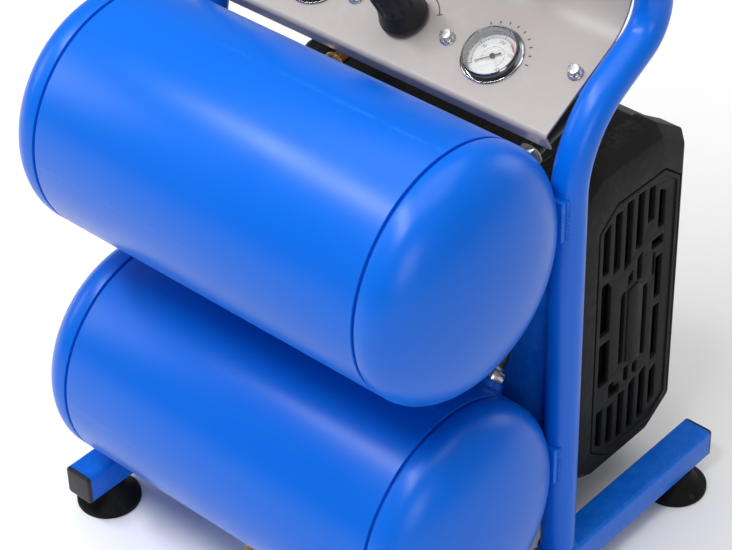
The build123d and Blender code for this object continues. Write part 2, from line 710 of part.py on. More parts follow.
def hood_screw(side, z):
    plane = Plane(origin=(side * CAP_FLANGE_X, HOOD_SCREW_Y, z), x_dir=(0, 1, 0), z_dir=(side, 0, 0))
    screw = disc(plane, 4.5, 0, 2.6) + disc(plane, 2.2, -12, 0)
    return screw - plane.offset(2.2).location * Box(5.6, 1.1, 1.6) - plane.offset(2.2).location * Box(1.1, 5.6, 1.6)


nodes["hood_cover"] = hood_cover()
nodes["hood_left_cap"] = end_cap(-1)
nodes["hood_right_cap"] = end_cap(1)
nodes["hood_screws"] = group(hood_screw(side, z) for side in SIDES for z in HOOD_SCREW_ZS)


# ---- pump ----
def crankcase():
    y = MOTOR_Y
    outer = block(PUMP_X - 26, -46, y - 40, y + 40, 108, CASE_TOP)
    outer = fillet(outer.edges().filter_by(Axis.X), 10.0)
    case = outer - block(PUMP_X - 22, -52, y - 35, y + 35, 113, CASE_TOP - 5)
    case -= bar_z(PUMP_X, y, CASE_TOP - 6, CASE_TOP + 1, BORE_R + 1)
    case += bar_x(-46, -42, y, MOTOR_Z, 30)
    case -= bar_x(-53, -41, y, MOTOR_Z, SHAFT_R + 2)
    for x, z in ISOLATORS:
        if x < 0:
            case += bar_y(x, LOW_Y + 12, y - 38, z, 9)
    return case


def cylinder():
    barrel = bar_z(PUMP_X, MOTOR_Y, CASE_TOP, CYL_TOP, BORE_R + 4.5)
    for i in range(6):
        z = CASE_TOP + 8 + i * 8.5
        barrel += bar_z(PUMP_X, MOTOR_Y, z, z + 2.2, BORE_R + 11)
    return barrel - bar_z(PUMP_X, MOTOR_Y, CASE_TOP - 1, CYL_TOP + 1, BORE_R)


def cylinder_head():
    half = 33
    head = block(PUMP_X - half, PUMP_X + half, MOTOR_Y - half, MOTOR_Y + half, CYL_TOP, HEAD_TOP)
    for i in range(6):
        x = PUMP_X - half + 6 + i * 10
        head -= block(x, x + 4.5, MOTOR_Y - half - 1, MOTOR_Y + half + 1, CYL_TOP + 14, HEAD_TOP + 1)
    head += bar_z(OUTLET_X, OUTLET_Y, CYL_TOP + 4, HEAD_TOP, 8)
    return head


def piston():
    r = BORE_R - PISTON_GAP
    body = bar_z(PUMP_X, MOTOR_Y, WRIST_Z - 12, CYL_TOP - 2, r)
    body -= bar_z(PUMP_X, MOTOR_Y, WRIST_Z - 13, WRIST_Z + 13, r - 4)
    for side in SIDES:
        x = PUMP_X + side * (ROD_T / 2 + 5)
        body += bar_x(x - 4, x + 4, MOTOR_Y, WRIST_Z, 9) & bar_z(PUMP_X, MOTOR_Y, WRIST_Z - 12, CYL_TOP - 3, r)
    pin = bar_x(PUMP_X - 20, PUMP_X + 20, MOTOR_Y, WRIST_Z, WRIST_R)
    return body + pin


def connecting_rod():
    x0 = PUMP_X - ROD_T / 2
    x1 = PUMP_X + ROD_T / 2
    crank_z = MOTOR_Z + THROW
    rod = bar_x(x0, x1, MOTOR_Y, WRIST_Z, 9) + bar_x(x0, x1, MOTOR_Y, crank_z, 15)
    rod += block(x0 + 2, x1 - 2, MOTOR_Y - 5, MOTOR_Y + 5, crank_z + 10, WRIST_Z - 6)
    rod -= bar_x(x0 - 1, x1 + 1, MOTOR_Y, WRIST_Z, WRIST_R + RUN_GAP)
    return rod - bar_x(x0 - 1, x1 + 1, MOTOR_Y, crank_z, 9)


def crankshaft():
    shaft = bar_x(-62, 106, MOTOR_Y, MOTOR_Z, SHAFT_R)
    web = bar_x(-68, -60, MOTOR_Y, MOTOR_Z, 24)
    pin = bar_x(-72, -68, MOTOR_Y, MOTOR_Z + THROW, 6)
    weight = bar_x(-69.5, -68, MOTOR_Y, MOTOR_Z, 24) & block(-70, -67, MOTOR_Y - 30, MOTOR_Y + 30,
                                                            MOTOR_Z - 30, MOTOR_Z - 6)
    return shaft + web + pin + weight


nodes["crankcase"] = crankcase()
nodes["cylinder"] = cylinder()
nodes["cylinder_head"] = cylinder_head()
nodes["piston"] = piston()
nodes["connecting_rod"] = connecting_rod()
nodes["crankshaft"] = crankshaft()


# ---- motor ----
def ring_x(x0, x1, r_out, r_in):
    return bar_x(x0, x1, MOTOR_Y, MOTOR_Z, r_out) - bar_x(x0 - 1, x1 + 1, MOTOR_Y, MOTOR_Z, r_in)


def motor_end_bells():
    bells = []
    for x, out in zip(BEARING_XS, SIDES):
        inner = x - out * 8
        outer = x + out * 8
        bell = ring_x(min(outer, x), max(outer, x), 54, SHAFT_R + 2)
        bell += ring_x(min(x, inner), max(x, inner), BEARING_R + 5, SHAFT_R + 2)
        rim = inner - out * 18
        bell += ring_x(min(x, rim), max(x, rim), 54, 48)
        bell -= bar_x(x - 5, x + 5, MOTOR_Y, MOTOR_Z, BEARING_R)
        if x > 0:
            for px, z in ISOLATORS:
                if px > 0:
                    bell += bar_y(px, LOW_Y + 12, MOTOR_Y - 42, z, 9) - ring_x(50, 90, 47.9, 1)
        bells.append(bell)
    return group(bells)


def motor_stator():
    core = ring_x(-8, 48, 54, 29)
    for i in range(4):
        turn = Pos(0, MOTOR_Y, MOTOR_Z) * Rot(45 + 90 * i, 0, 0) * Pos(0, 0, -MOTOR_Z) * Pos(0, -MOTOR_Y, 0)
        core -= turn * bar_x(-9, 49, MOTOR_Y, MOTOR_Z + 54, 3.4)
    windings = ring_x(-18, -8, 46, 31) + ring_x(48, 58, 46, 31)
    return core + windings


def motor_rotor():
    return ring_x(-6, 46, 28.5, SHAFT_R)


def shaft_bearings():
    return group(ring_x(x - 5, x + 5, BEARING_R, SHAFT_R + RUN_GAP) for x in BEARING_XS)


def cooling_fan():
    fan = ring_x(88, 102, 14, SHAFT_R)
    for i in range(7):
        turn = Pos(95, MOTOR_Y, MOTOR_Z) * Rot(360 / 7 * i, 0, 0)
        fan += turn * Pos(0, 0, 30) * Rot(0, 0, 35) * Box(2.2, 22, 36)
    return fan


def pump_isolators():
    return group(bar_y(x, LOW_Y, LOW_Y + 12, z, 10) - bar_y(x, LOW_Y - 1, LOW_Y + 13, z, 3.2)
                 for x, z in ISOLATORS)


nodes["motor_end_bells"] = motor_end_bells()
nodes["motor_stator"] = motor_stator()
nodes["motor_rotor"] = motor_rotor()
nodes["shaft_bearings"] = shaft_bearings()
nodes["cooling_fan"] = cooling_fan()
nodes["pump_isolators"] = pump_isolators()

os.makedirs("parts", exist_ok=True)
for name, shape in nodes.items():
    export_step(shape, "parts/" + name + ".step")
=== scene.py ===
import bmesh
import bpy
from math import asin, cos, pi, radians, sin, tan
from mathutils import Matrix, Vector


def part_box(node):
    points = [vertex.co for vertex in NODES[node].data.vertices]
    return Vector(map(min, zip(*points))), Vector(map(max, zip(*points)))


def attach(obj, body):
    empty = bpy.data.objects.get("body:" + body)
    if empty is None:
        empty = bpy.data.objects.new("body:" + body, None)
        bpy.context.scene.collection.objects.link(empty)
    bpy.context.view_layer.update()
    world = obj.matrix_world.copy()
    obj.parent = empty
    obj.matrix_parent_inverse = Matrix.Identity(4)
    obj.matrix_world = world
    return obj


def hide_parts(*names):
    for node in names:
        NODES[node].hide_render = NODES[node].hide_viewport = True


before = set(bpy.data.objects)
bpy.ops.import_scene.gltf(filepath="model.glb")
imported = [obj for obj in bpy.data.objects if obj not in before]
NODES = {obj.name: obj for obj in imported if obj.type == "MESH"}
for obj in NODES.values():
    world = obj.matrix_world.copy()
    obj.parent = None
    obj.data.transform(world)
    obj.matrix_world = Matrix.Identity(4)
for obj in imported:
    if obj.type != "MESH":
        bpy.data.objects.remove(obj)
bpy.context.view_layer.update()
MM = 0.001
SIDES = (-1, 1)


def mm(*points, h=0.0):
    """Pairs given in millimetres, as pairs in metres; h is added to the first of each."""
    return [(h + a * MM, b * MM) for a, b in points]


# ---- places read from the frame ----
def middle(node):
    low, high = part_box(node)
    return (low + high) / 2


def extent(node):
    low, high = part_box(node)
    return high - low


TANK_R = extent("upper_tank_shell").z / 2
TANK_TIP_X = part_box("upper_tank_right_head")[1].x
SEAM_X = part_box("upper_tank_shell")[1].x
UPPER = middle("upper_tank_shell")
LOWER = middle("lower_tank_shell")
TUBE_R = extent("handle_bar").y / 2
TUBE_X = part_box("handle_bar")[1].x - TUBE_R
TUBE_LOW_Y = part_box("mount_plate")[0].y + 3 * MM
TUBE_TOP_Y = middle("handle_bar").y
BAR_Z = middle("handle_grip").z
RAIL = extent("left_base_rail").x
RAIL_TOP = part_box("left_base_rail")[1].z
PANEL_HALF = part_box("control_panel")[1].x
PANEL_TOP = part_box("control_panel")[1].z
SLOPE = radians(28)
PANEL_FRONT = Vector((0, UPPER.y + 93 * MM, UPPER.z + 53.5 * MM))
PANEL_LIP = 14 * MM
PANEL_BEND_R = 42 * MM
GAUGE_HOLE_R = 19.2 * MM
DIAL_R = 18.2 * MM
AIR_LINE_R = 5 * MM
PANEL_FACE_Y = TUBE_TOP_Y - 2 * MM
GAUGE_X = 78 * MM
GAUGE_S = 36.3 * MM
KNOB_X = 3.3 * MM
KNOB_S = 35.5 * MM
SLOPE_BOLTS = ((41 * MM, 34.5 * MM), (138.5 * MM, 48.5 * MM))
TOP_BOLT_X = 138.5 * MM
TOP_BOLT_Z = PANEL_TOP - 20 * MM
MOTOR_Y = middle("crankshaft").y


def basis(origin, axis, x_hint=(1, 0, 0)):
    """Matrix whose Z runs along the axis and whose X is as near the hint as it can be."""
    z = Vector(axis).normalized()
    x = Vector(x_hint)
    x = (x - z * x.dot(z)).normalized()
    y = z.cross(x)
    m = Matrix((x, y, z)).transposed().to_4x4()
    m.translation = Vector(origin)
    return m


def lift(h):
    return Matrix.Translation((0, 0, h))


def turn_about(axis, angle):
    return Matrix.Rotation(radians(angle), 4, axis)


def circle(place, radius, steps):
    """Points once round the place's Z axis, the first one repeated at the end."""
    angles = [2 * pi * k / steps for k in range(steps + 1)]
    return [place @ Vector((radius * cos(a), radius * sin(a), 0)) for a in angles]


def slope_place(x, s, h=0.0):
    """Place on the sloping part of the panel: s up the slope, Z towards the user."""
    up = Vector((0, cos(SLOPE), sin(SLOPE)))
    out = Vector((0, -sin(SLOPE), cos(SLOPE)))
    return basis(PANEL_FRONT + Vector((x, 0, 0)) + up * s + out * h, out)


def front_place(x, z, y=PANEL_FACE_Y):
    return basis((x, y, z), (0, -1, 0))


def tank_place(tank, x, angle):
    out = Vector((0, cos(radians(angle)), sin(radians(angle))))
    return basis(Vector((x, tank.y, tank.z)) + out * TANK_R, out)


# ---- mesh helpers ----
def link(obj):
    bpy.context.scene.collection.objects.link(obj)
    return obj


def finish_mesh(me, smooth_deg):
    for poly in me.polygons:
        poly.use_smooth = True
    me.set_sharp_from_angle(angle=radians(smooth_deg))


def weld_points(me, distance):
    """Merges close points and turns every face outwards."""
    bm = bmesh.new()
    bm.from_mesh(me)
    bmesh.ops.remove_doubles(bm, verts=bm.verts, dist=distance)
    bmesh.ops.recalc_face_normals(bm, faces=bm.faces)
    bm.to_mesh(me)
    bm.free()


def evaluated(obj, **options):
    """New mesh of the object with its modifiers applied."""
    bpy.context.view_layer.update()
    graph = bpy.context.evaluated_depsgraph_get()
    return bpy.data.meshes.new_from_object(obj.evaluated_get(graph), depsgraph=graph, **options)


def curve_mesh(name, curve, move):
    """Turns a curve into a mesh and moves it."""
    obj = link(bpy.data.objects.new(name, curve))
    me = evaluated(obj)
    bpy.data.objects.remove(obj)
    me.transform(move)
    me.materials.clear()
    return me


def skin(rings, n):
    """Faces between rings of n points each, in order."""
    return [[i * n + k, i * n + (k + 1) % n, (i + 1) * n + (k + 1) % n, (i + 1) * n + k]
            for i in range(rings - 1) for k in range(n)]


def mesh_object(name, verts, faces, place=None, smooth_deg=38):
    me = bpy.data.meshes.new(name)
    if place is not None:
        verts = [place @ Vector(v) for v in verts]
    me.from_pydata([tuple(v) for v in verts], [], faces)
    weld_points(me, 1e-7)
    finish_mesh(me, smooth_deg)
    return link(bpy.data.objects.new(name, me))


def baked(obj, smooth_deg=38, keep_normals=False):
    """Applies the object's modifiers."""
    me = evaluated(obj, preserve_all_data_layers=True)
    old = obj.data
    obj.modifiers.clear()
    obj.data = me
    me.name = obj.name
    if old.users == 0:
        bpy.data.meshes.remove(old)
    if not keep_normals:
        finish_mesh(me, smooth_deg)
    return obj


def bevelled(obj, width, segments=3, angle=30):
    """Rounds the edges and keeps the flat faces flat."""
    mod = obj.modifiers.new("edge", "BEVEL")
    mod.width = width
    mod.segments = segments
    mod.limit_method = "ANGLE"
    mod.angle_limit = radians(angle)
    mod.use_clamp_overlap = True
    mod.harden_normals = True
    return baked(obj, keep_normals=True)


def cut(obj, cutters, smooth_deg=38, operation="DIFFERENCE"):
    for cutter in cutters:
        mod = obj.modifiers.new("cut", "BOOLEAN")
        mod.operation = operation
        mod.solver = "EXACT"
        mod.object = cutter
    baked(obj, smooth_deg)
    for cutter in cutters:
        bpy.data.objects.remove(cutter)
    return obj


def joined(name, objects):
    """One object from several."""
    bm = bmesh.new()
    mats = []
    for obj in objects:
        start = len(bm.faces)
        me = obj.data
        bm.from_mesh(me)
        bm.faces.ensure_lookup_table()
        slots = [m for m in me.materials] or [None]
        for i in range(start, len(bm.faces)):
            face = bm.faces[i]
            mat = slots[min(face.material_index, len(slots) - 1)]
            if mat not in mats:
                mats.append(mat)
            face.material_index = mats.index(mat)
    me = bpy.data.meshes.new(name)
    bm.to_mesh(me)
    bm.free()
    for mat in mats:
        if mat is not None:
            me.materials.append(mat)
    for obj in objects:
        bpy.data.objects.remove(obj)
    me.set_sharp_from_angle(angle=radians(38))
    return link(bpy.data.objects.new(name, me))


def each_corner(radius, points):
    """One radius for every inner corner."""
    return radius if isinstance(radius, (list, tuple)) else [radius] * (len(points) - 2)


def rounded_profile(points, radius, steps=4):
    """Replaces each inner corner of an open outline with a short arc."""
    out = [Vector(points[0])]
    radii = each_corner(radius, points)
    for i in range(1, len(points) - 1):
        a, b, c = Vector(points[i - 1]), Vector(points[i]), Vector(points[i + 1])
        out += arc_corner(a, b, c, radii[i - 1], steps)
    out.append(Vector(points[-1]))
    return out


def arc_corner(a, b, c, radius, steps):
    """Points of the arc that rounds the corner at b."""
    ab = a - b
    cb = c - b
    if radius <= 0 or ab.length < 1e-9 or cb.length < 1e-9:
        return [b]
    turn = ab.angle(cb)
    if abs(pi - turn) < 1e-3 or turn < 1e-3:
        return [b]
    reach = min(radius / tan(turn / 2), 0.49 * ab.length, 0.49 * cb.length)
    r = reach * tan(turn / 2)
    u, w = ab.normalized(), cb.normalized()
    centre = b + (u + w).normalized() * (r / sin(turn / 2))
    start, end = b + u * reach - centre, b + w * reach - centre
    sweep = start.angle(end)
    pts = []
    for k in range(steps + 1):
        t = k / steps
        pts.append(centre + (start * sin((1 - t) * sweep) + end * sin(t * sweep)) / sin(sweep))
    return pts


def lathe(name, profile, place, segments=96, modulate=None, smooth_deg=38):
    """Revolves (height, radius) points about the place's Z axis.

    modulate(angle, height) scales the radius.
    """
    verts, faces = [], []
    rings = []
    for h, r in profile:
        if r < 1e-7:
            rings.append([len(verts)])
            verts.append(Vector((0, 0, h)))
            continue
        ring = []
        for k in range(segments):
            a = 2 * pi * k / segments
            rr = r * modulate(a, h) if modulate else r
            ring.append(len(verts))
            verts.append(Vector((rr * cos(a), rr * sin(a), h)))
        rings.append(ring)
    for one, two in zip(rings, rings[1:]):
        n = max(len(one), len(two))
        if n == 1:
            continue
        for k in range(n):
            quad = [one[k % len(one)], one[(k + 1) % len(one)], two[(k + 1) % len(two)], two[k % len(two)]]
            quad = list(dict.fromkeys(quad))
            if len(quad) > 2:
                faces.append(quad)
    return mesh_object(name, verts, faces, place, smooth_deg)


def turned(name, corners, place, radius=0.4 * MM, segments=96, **more):
    """Lathe with every corner of the outline rounded."""
    return lathe(name, rounded_profile(corners, radius, 3), place, segments, **more)


def prism(name, outline, depth, place, edge=0.5 * MM, segments=3):
    """Outline in the place's XY plane, extruded along Z from 0 to depth, with rounded edges."""
    n = len(outline)
    verts = [Vector((x, y, 0)) for x, y in outline] + [Vector((x, y, depth)) for x, y in outline]
    faces = [list(range(n))[::-1], [n + k for k in range(n)]]
    faces += [[k, (k + 1) % n, n + (k + 1) % n, n + k] for k in range(n)]
    obj = mesh_object(name, verts, faces, place)
    return bevelled(obj, edge, segments) if edge else obj


def rounded_rect(w, h, r, steps=6):
    pts = []
    for cx, cy, a0 in ((w / 2 - r, h / 2 - r, 0), (-w / 2 + r, h / 2 - r, 90),
                       (-w / 2 + r, -h / 2 + r, 180), (w / 2 - r, -h / 2 + r, 270)):
        for k in range(steps + 1):
            a = radians(a0 + 90 * k / steps)
            pts.append((cx + r * cos(a), cy + r * sin(a)))
    return pts


def box_mesh(name, low, high, edge=0.0, segments=3):
    x0, y0, z0 = low
    x1, y1, z1 = high
    outline = [(x0, y0), (x1, y0), (x1, y1), (x0, y1)]
    return prism(name, outline, z1 - z0, lift(z0), edge, segments)


def hexagon(across):
    r = across / 2 / cos(radians(30))
    return [(r * cos(radians(60 * k)), r * sin(radians(60 * k))) for k in range(6)]


def hex_block(name, across, h0, h1, place, top_chamfer=True):
    """Hexagonal block whose upper corners are turned down, as on a nut or bolt head."""
    block = prism(name, hexagon(across), h1 - h0, place @ lift(h0), 0)
    if top_chamfer:
        r = across / 2 / cos(radians(30))
        rise = (r - across / 2 * 0.97) * tan(radians(30))
        under, bend = h0 - 1 * MM, h1 - rise * 1.7
        ends = [(under, 0), (under, r * 1.2), (bend, r * 1.2), (bend, r * 1.02),
                (h1, across / 2 * 0.95), (h1, 0)]
        envelope = lathe("envelope", ends, place, 48)
        cut(block, [envelope], operation="INTERSECT")
    return bevelled(block, 0.25 * MM, 2, 25)


def smooth_path(corners, radius, step=2.5 * MM):
    """Straight runs joined by arcs, as close points."""
    corners = [Vector(c) for c in corners]
    radii = each_corner(radius, corners)
    pts = [corners[0]]
    for i in range(1, len(corners) - 1):
        steps = max(6, int(radii[i - 1] / step) * 2)
        pts += arc_corner(corners[i - 1], corners[i], corners[i + 1], radii[i - 1], steps)
    pts.append(corners[-1])
    return pts


def sweep(name, points, r, segments=40, caps=True, radius_at=None):
    """Round tube along the points, without twist."""
    verts = []
    n = len(points)
    tangents = [(points[min(i + 1, n - 1)] - points[max(i - 1, 0)]).normalized() for i in range(n)]
    side = tangents[0].orthogonal().normalized()
    for i, p in enumerate(points):
        if i:
            side = tangents[i - 1].rotation_difference(tangents[i]) @ side
        up = tangents[i].cross(side)
        rr = radius_at(i, n) if radius_at else r
        for k in range(segments):
            a = 2 * pi * k / segments
            verts.append(p + (side * cos(a) + up * sin(a)) * rr)
    faces = skin(n, segments)
    if caps:
        faces += [list(range(segments))[::-1], list(range((n - 1) * segments, n * segments))]
    return mesh_object(name, verts, faces)


def flat_shape(name, outer, holes, thickness, place, edge=0.6 * MM, steps=2):
    """Plate with shaped holes and rounded edges, from closed outlines in the place's XY plane."""
    curve = bpy.data.curves.new(name, "CURVE")
    curve.dimensions = "2D"
    curve.fill_mode = "BOTH"
    curve.extrude = thickness / 2 - edge
    curve.bevel_depth = edge
    curve.bevel_resolution = steps
    curve.offset = -edge
    for outline in [outer] + holes:
        spline = curve.splines.new("POLY")
        spline.points.add(len(outline) - 1)
        for point, (x, y) in zip(spline.points, outline):
            point.co = (x, y, 0, 1)
        spline.use_cyclic_u = True
    me = curve_mesh(name, curve, place @ lift(thickness / 2))
    weld_points(me, 1e-6)
    finish_mesh(me, 30)
    return link(bpy.data.objects.new(name, me))


def inset(outline, d):
    """Moves every side of a convex outline inwards by d."""
    n = len(outline)
    after = outline[1:] + outline[:1]
    area = sum(a[0] * b[1] - b[0] * a[1] for a, b in zip(outline, after))
    turn = 1 if area > 0 else -1
    lines = []
    for a, b in zip(outline, after):
        a, b = Vector(a), Vector(b)
        along = (b - a).normalized()
        normal = Vector((-along.y, along.x)) * turn
        lines.append((a + normal * d, along))
    out = []
    for k in range(n):
        (p, u), (q, w) = lines[k - 1], lines[k]
        cross = u.x * w.y - u.y * w.x
        t = ((q - p).x * w.y - (q - p).y * w.x) / cross
        out.append(p + u * t)
    return out


def round_corners(outline, radius, steps=4):
    pts = []
    for k, corner in enumerate(outline):
        after = outline[(k + 1) % len(outline)]
        pts += arc_corner(Vector(outline[k - 1]), Vector(corner), Vector(after), radius, steps)
    return pts


def ring_loft(name, rings, place, closed=False, smooth_deg=30):
    """Skin over closed outlines of equal point count; each ring is (outline, height)."""
    n = len(rings[0][0])
    verts = [Vector((x, y, h)) for outline, h in rings for x, y in outline]
    faces = skin(len(rings), n)
    if closed:
        faces += [list(range(n))[::-1], list(range((len(rings) - 1) * n, len(rings) * n))]
    return mesh_object(name, verts, faces, place, smooth_deg)


def bent_sheet(name, path, thickness, half_width):
    """Sheet of even thickness whose section follows (y, z) points."""
    n = len(path)
    front, back = [], []
    for i, p in enumerate(path):
        a, b = path[max(i - 1, 0)], path[min(i + 1, n - 1)]
        t = (b - a).normalized()
        normal = Vector((-t.y, t.x))
        front.append(p + normal * thickness / 2)
        back.append(p - normal * thickness / 2)
    loop = front + back[::-1]
    m = len(loop)
    verts = [Vector((x, q.x, q.y)) for x in (-half_width, half_width) for q in loop]
    faces = skin(2, m)
    faces += [[c + i, c + i + 1, c + m - 2 - i, c + m - 1 - i] for c in (0, m) for i in range(n - 1)]
    return mesh_object(name, verts, faces)


# ---- materials ----
def shade(tree, kind, inputs=None, **settings):
    node = tree.nodes.new(kind)
    for key, value in settings.items():
        setattr(node, key, value)
    for key, value in (inputs or {}).items():
        if isinstance(value, bpy.types.NodeSocket):
            tree.links.new(value, node.inputs[key])
        else:
            node.inputs[key].default_value = value
    return node


def tint(color, factor):
    return tuple(min(1.0, c * factor) for c in color) + (1.0,)


def noise(tree, coords, scale, detail=2.0, rough=0.5, stretch=None):
    if stretch:
        coords = shade(tree, "ShaderNodeMapping", {"Vector": coords, "Scale": stretch}).outputs["Vector"]
    made = shade(tree, "ShaderNodeTexNoise", {"Vector": coords, "Scale": scale, "Detail": detail,
                                              "Roughness": rough})
    return made.outputs["Fac"]


def mapped(tree, value, a, b, lo=0.0, hi=1.0):
    return shade(tree, "ShaderNodeMapRange", {"Value": value, "From Min": lo, "From Max": hi,
                                              "To Min": a, "To Max": b}).outputs["Result"]


def mix_color(tree, fac, a, b):
    node = shade(tree, "ShaderNodeMix", data_type="RGBA")
    for socket, value in ((node.inputs["Factor"], fac), (node.inputs[6], a), (node.inputs[7], b)):
        if isinstance(value, bpy.types.NodeSocket):
            tree.links.new(value, socket)
        else:
            socket.default_value = value
    return node.outputs[2]


def surface(name, color, rough, metallic=0.0, mottle=(14, 0.05), grain=(900, 0.15, 0.1), spread=0.05,
            wear=None, coat=None, stretch=None, dust=None, specular=None):
    """Procedural finish.

    mottle = (scale, colour variation); grain = (scale, bump strength, bump height in mm);
    spread = roughness variation; wear = (edge colour, amount); dust = (colour, amount).
    """
    mat = bpy.data.materials.new(name)
    mat.use_nodes = True
    tree = mat.node_tree
    bsdf = tree.nodes["Principled BSDF"]
    coords = shade(tree, "ShaderNodeTexCoord").outputs["Object"]
    broad = noise(tree, coords, mottle[0], 3.0)
    fine = noise(tree, coords, grain[0], 2.0, 0.6, stretch)
    base = mix_color(tree, broad, tint(color, 1 - mottle[1]), tint(color, 1 + mottle[1]))
    if dust:
        film = mapped(tree, noise(tree, coords, 55, 5.0, 0.65), 0.0, dust[1], 0.45, 0.75)
        base = mix_color(tree, film, base, tint(dust[0], 1))
    if wear:
        point = shade(tree, "ShaderNodeNewGeometry").outputs["Pointiness"]
        worn = mapped(tree, point, 0.0, 1.0, 0.535, 0.62)
        broken = mapped(tree, noise(tree, coords, 120, 4.0, 0.7), 0.0, wear[1], 0.42, 0.62)
        amount = shade(tree, "ShaderNodeMath", {0: worn, 1: broken}, operation="MULTIPLY").outputs[0]
        base = mix_color(tree, amount, base, tint(wear[0], 1))
    tree.links.new(base, bsdf.inputs["Base Color"])
    bsdf.inputs["Metallic"].default_value = metallic
    patches = noise(tree, coords, mottle[0] * 3.1, 4.0)
    tree.links.new(mapped(tree, patches, rough - spread, rough + spread, 0.3, 0.7), bsdf.inputs["Roughness"])
    if specular is not None:
        bsdf.inputs["Specular IOR Level"].default_value = specular
    if coat:
        bsdf.inputs["Coat Weight"].default_value = coat[0]
        bsdf.inputs["Coat Roughness"].default_value = coat[1]
    bump = shade(tree, "ShaderNodeBump", {"Strength": grain[1], "Distance": grain[2] * MM, "Height": fine})
    tree.links.new(bump.outputs["Normal"], bsdf.inputs["Normal"])
    return mat


def glass(name, color, rough):
    mat = bpy.data.materials.new(name)
    mat.use_nodes = True
    tree = mat.node_tree
    bsdf = tree.nodes["Principled BSDF"]
    bsdf.inputs["Base Color"].default_value = tint(color, 1)
    bsdf.inputs["Transmission Weight"].default_value = 1.0
    bsdf.inputs["IOR"].default_value = 1.45
    bsdf.inputs["Alpha"].default_value = 0.1
    coords = shade(tree, "ShaderNodeTexCoord").outputs["Object"]
    smear = noise(tree, coords, 90, 4.0, 0.6)
    tree.links.new(mapped(tree, smear, rough, rough + 0.05, 0.4, 0.7), bsdf.inputs["Roughness"])
    return mat


STEEL_EDGE = (0.45, 0.45, 0.46)
BLUE = surface("blue_paint", (0.0, 0.120, 0.63), 0.31, mottle=(7, 0.03), grain=(520, 0.08, 0.06), spread=0.03,
               wear=((0.04, 0.26, 0.80), 0.3), specular=0.28)
BLUE_WELD = surface("blue_weld", (0.0, 0.115, 0.60), 0.40, mottle=(40, 0.08), grain=(420, 0.5, 0.25),
                    wear=((0.04, 0.26, 0.80), 0.5), specular=0.25)
PANEL = surface("panel_grey", (0.345, 0.312, 0.300), 0.42, mottle=(11, 0.018), grain=(1500, 0.10, 0.05),
                spread=0.04, wear=((0.62, 0.60, 0.60), 0.4), coat=(0.08, 0.3))
HOOD = surface("hood_plastic", (0.016, 0.016, 0.0157), 0.46, mottle=(18, 0.08), grain=(1300, 0.45, 0.10),
               wear=((0.085, 0.085, 0.083), 0.7), dust=((0.10, 0.10, 0.095), 0.04), specular=0.06)
RUBBER = surface("rubber", (0.008, 0.008, 0.008), 0.56, mottle=(30, 0.15), grain=(1100, 0.35, 0.10),
                 wear=((0.06, 0.06, 0.058), 0.6), dust=((0.12, 0.11, 0.10), 0.04), specular=0.07)
# Near-black sheet set behind the grille slots: painted shade standing in for the dark, shaded inside of the
# hood.
SHADE_BACKING = surface("slot_shade_backing", (0.006, 0.006, 0.006), 0.9, mottle=(300, 0.5), grain=(700, 1.0, 0.6),
               specular=0.05)
BLACK = surface("black_plastic", (0.010, 0.010, 0.011), 0.36, mottle=(25, 0.10), grain=(1400, 0.22, 0.06),
                wear=((0.05, 0.05, 0.05), 0.5), specular=0.3)
KNOB = surface("knob_rubber", (0.009, 0.009, 0.0095), 0.46, mottle=(60, 0.2), grain=(1700, 0.5, 0.12),
               wear=((0.04, 0.04, 0.04), 0.4), specular=0.35)
RED = surface("red_plastic", (0.50, 0.012, 0.010), 0.30, mottle=(25, 0.06), grain=(1200, 0.15, 0.05),
              wear=((0.65, 0.10, 0.08), 0.4), coat=(0.3, 0.15))
ZINC = surface("zinc_plate", (0.58, 0.57, 0.58), 0.30, 1.0, mottle=(220, 0.12), grain=(1600, 0.25, 0.05),
               wear=((0.75, 0.75, 0.75), 0.5), spread=0.09)
STEEL = surface("turned_steel", (0.52, 0.52, 0.53), 0.27, 1.0, mottle=(160, 0.10), grain=(1900, 0.22, 0.04),
                wear=(STEEL_EDGE, 0.4), spread=0.07)
# Chrome bezel given a dark colour: painted reflection of dark surroundings on polished chrome.
BEZEL_CHROME_DARK_REFLECTION = surface("bezel_painted_dark_reflection", (0.17, 0.17, 0.18), 0.12, 1.0, mottle=(120, 0.06),
                      grain=(700, 0.05, 0.02), spread=0.04)
CHROME = surface("chrome", (0.52, 0.52, 0.53), 0.10, 1.0, mottle=(120, 0.04), grain=(700, 0.05, 0.02),
                 spread=0.04)
BRASS = surface("brass", (0.66, 0.45, 0.17), 0.28, 1.0, mottle=(130, 0.14), grain=(1500, 0.2, 0.05),
                wear=((0.78, 0.60, 0.30), 0.5), spread=0.08)
COPPER = surface("copper_pipe", (0.33, 0.15, 0.085), 0.38, 1.0, mottle=(70, 0.20), grain=(900, 0.2, 0.05),
                 spread=0.08)
HOSE = surface("hose_rubber", (0.012, 0.012, 0.012), 0.48, mottle=(60, 0.2), grain=(1300, 0.4, 0.10))
ALLOY = surface("cast_alloy", (0.50, 0.50, 0.505), 0.46, 1.0, mottle=(60, 0.12), grain=(600, 0.5, 0.12),
                wear=((0.7, 0.7, 0.7), 0.4), spread=0.08)
LAMINATE = surface("laminated_core", (0.12, 0.12, 0.125), 0.45, 0.8, mottle=(60, 0.2), grain=(1500, 0.7, 0.2),
                   stretch=(9.0, 0.4, 0.4))
WINDING = surface("winding", (0.42, 0.15, 0.06), 0.35, 0.6, mottle=(120, 0.3), grain=(900, 0.8, 0.4),
                  stretch=(0.3, 2.0, 2.0))
DIAL = surface("dial_white", (0.60, 0.60, 0.595), 0.45, mottle=(60, 0.02), grain=(1500, 0.08, 0.02))
RIM_GREY = surface("gauge_inner_wall", (0.42, 0.42, 0.43), 0.28, 0.7, mottle=(60, 0.05),
                   grain=(1200, 0.1, 0.03))
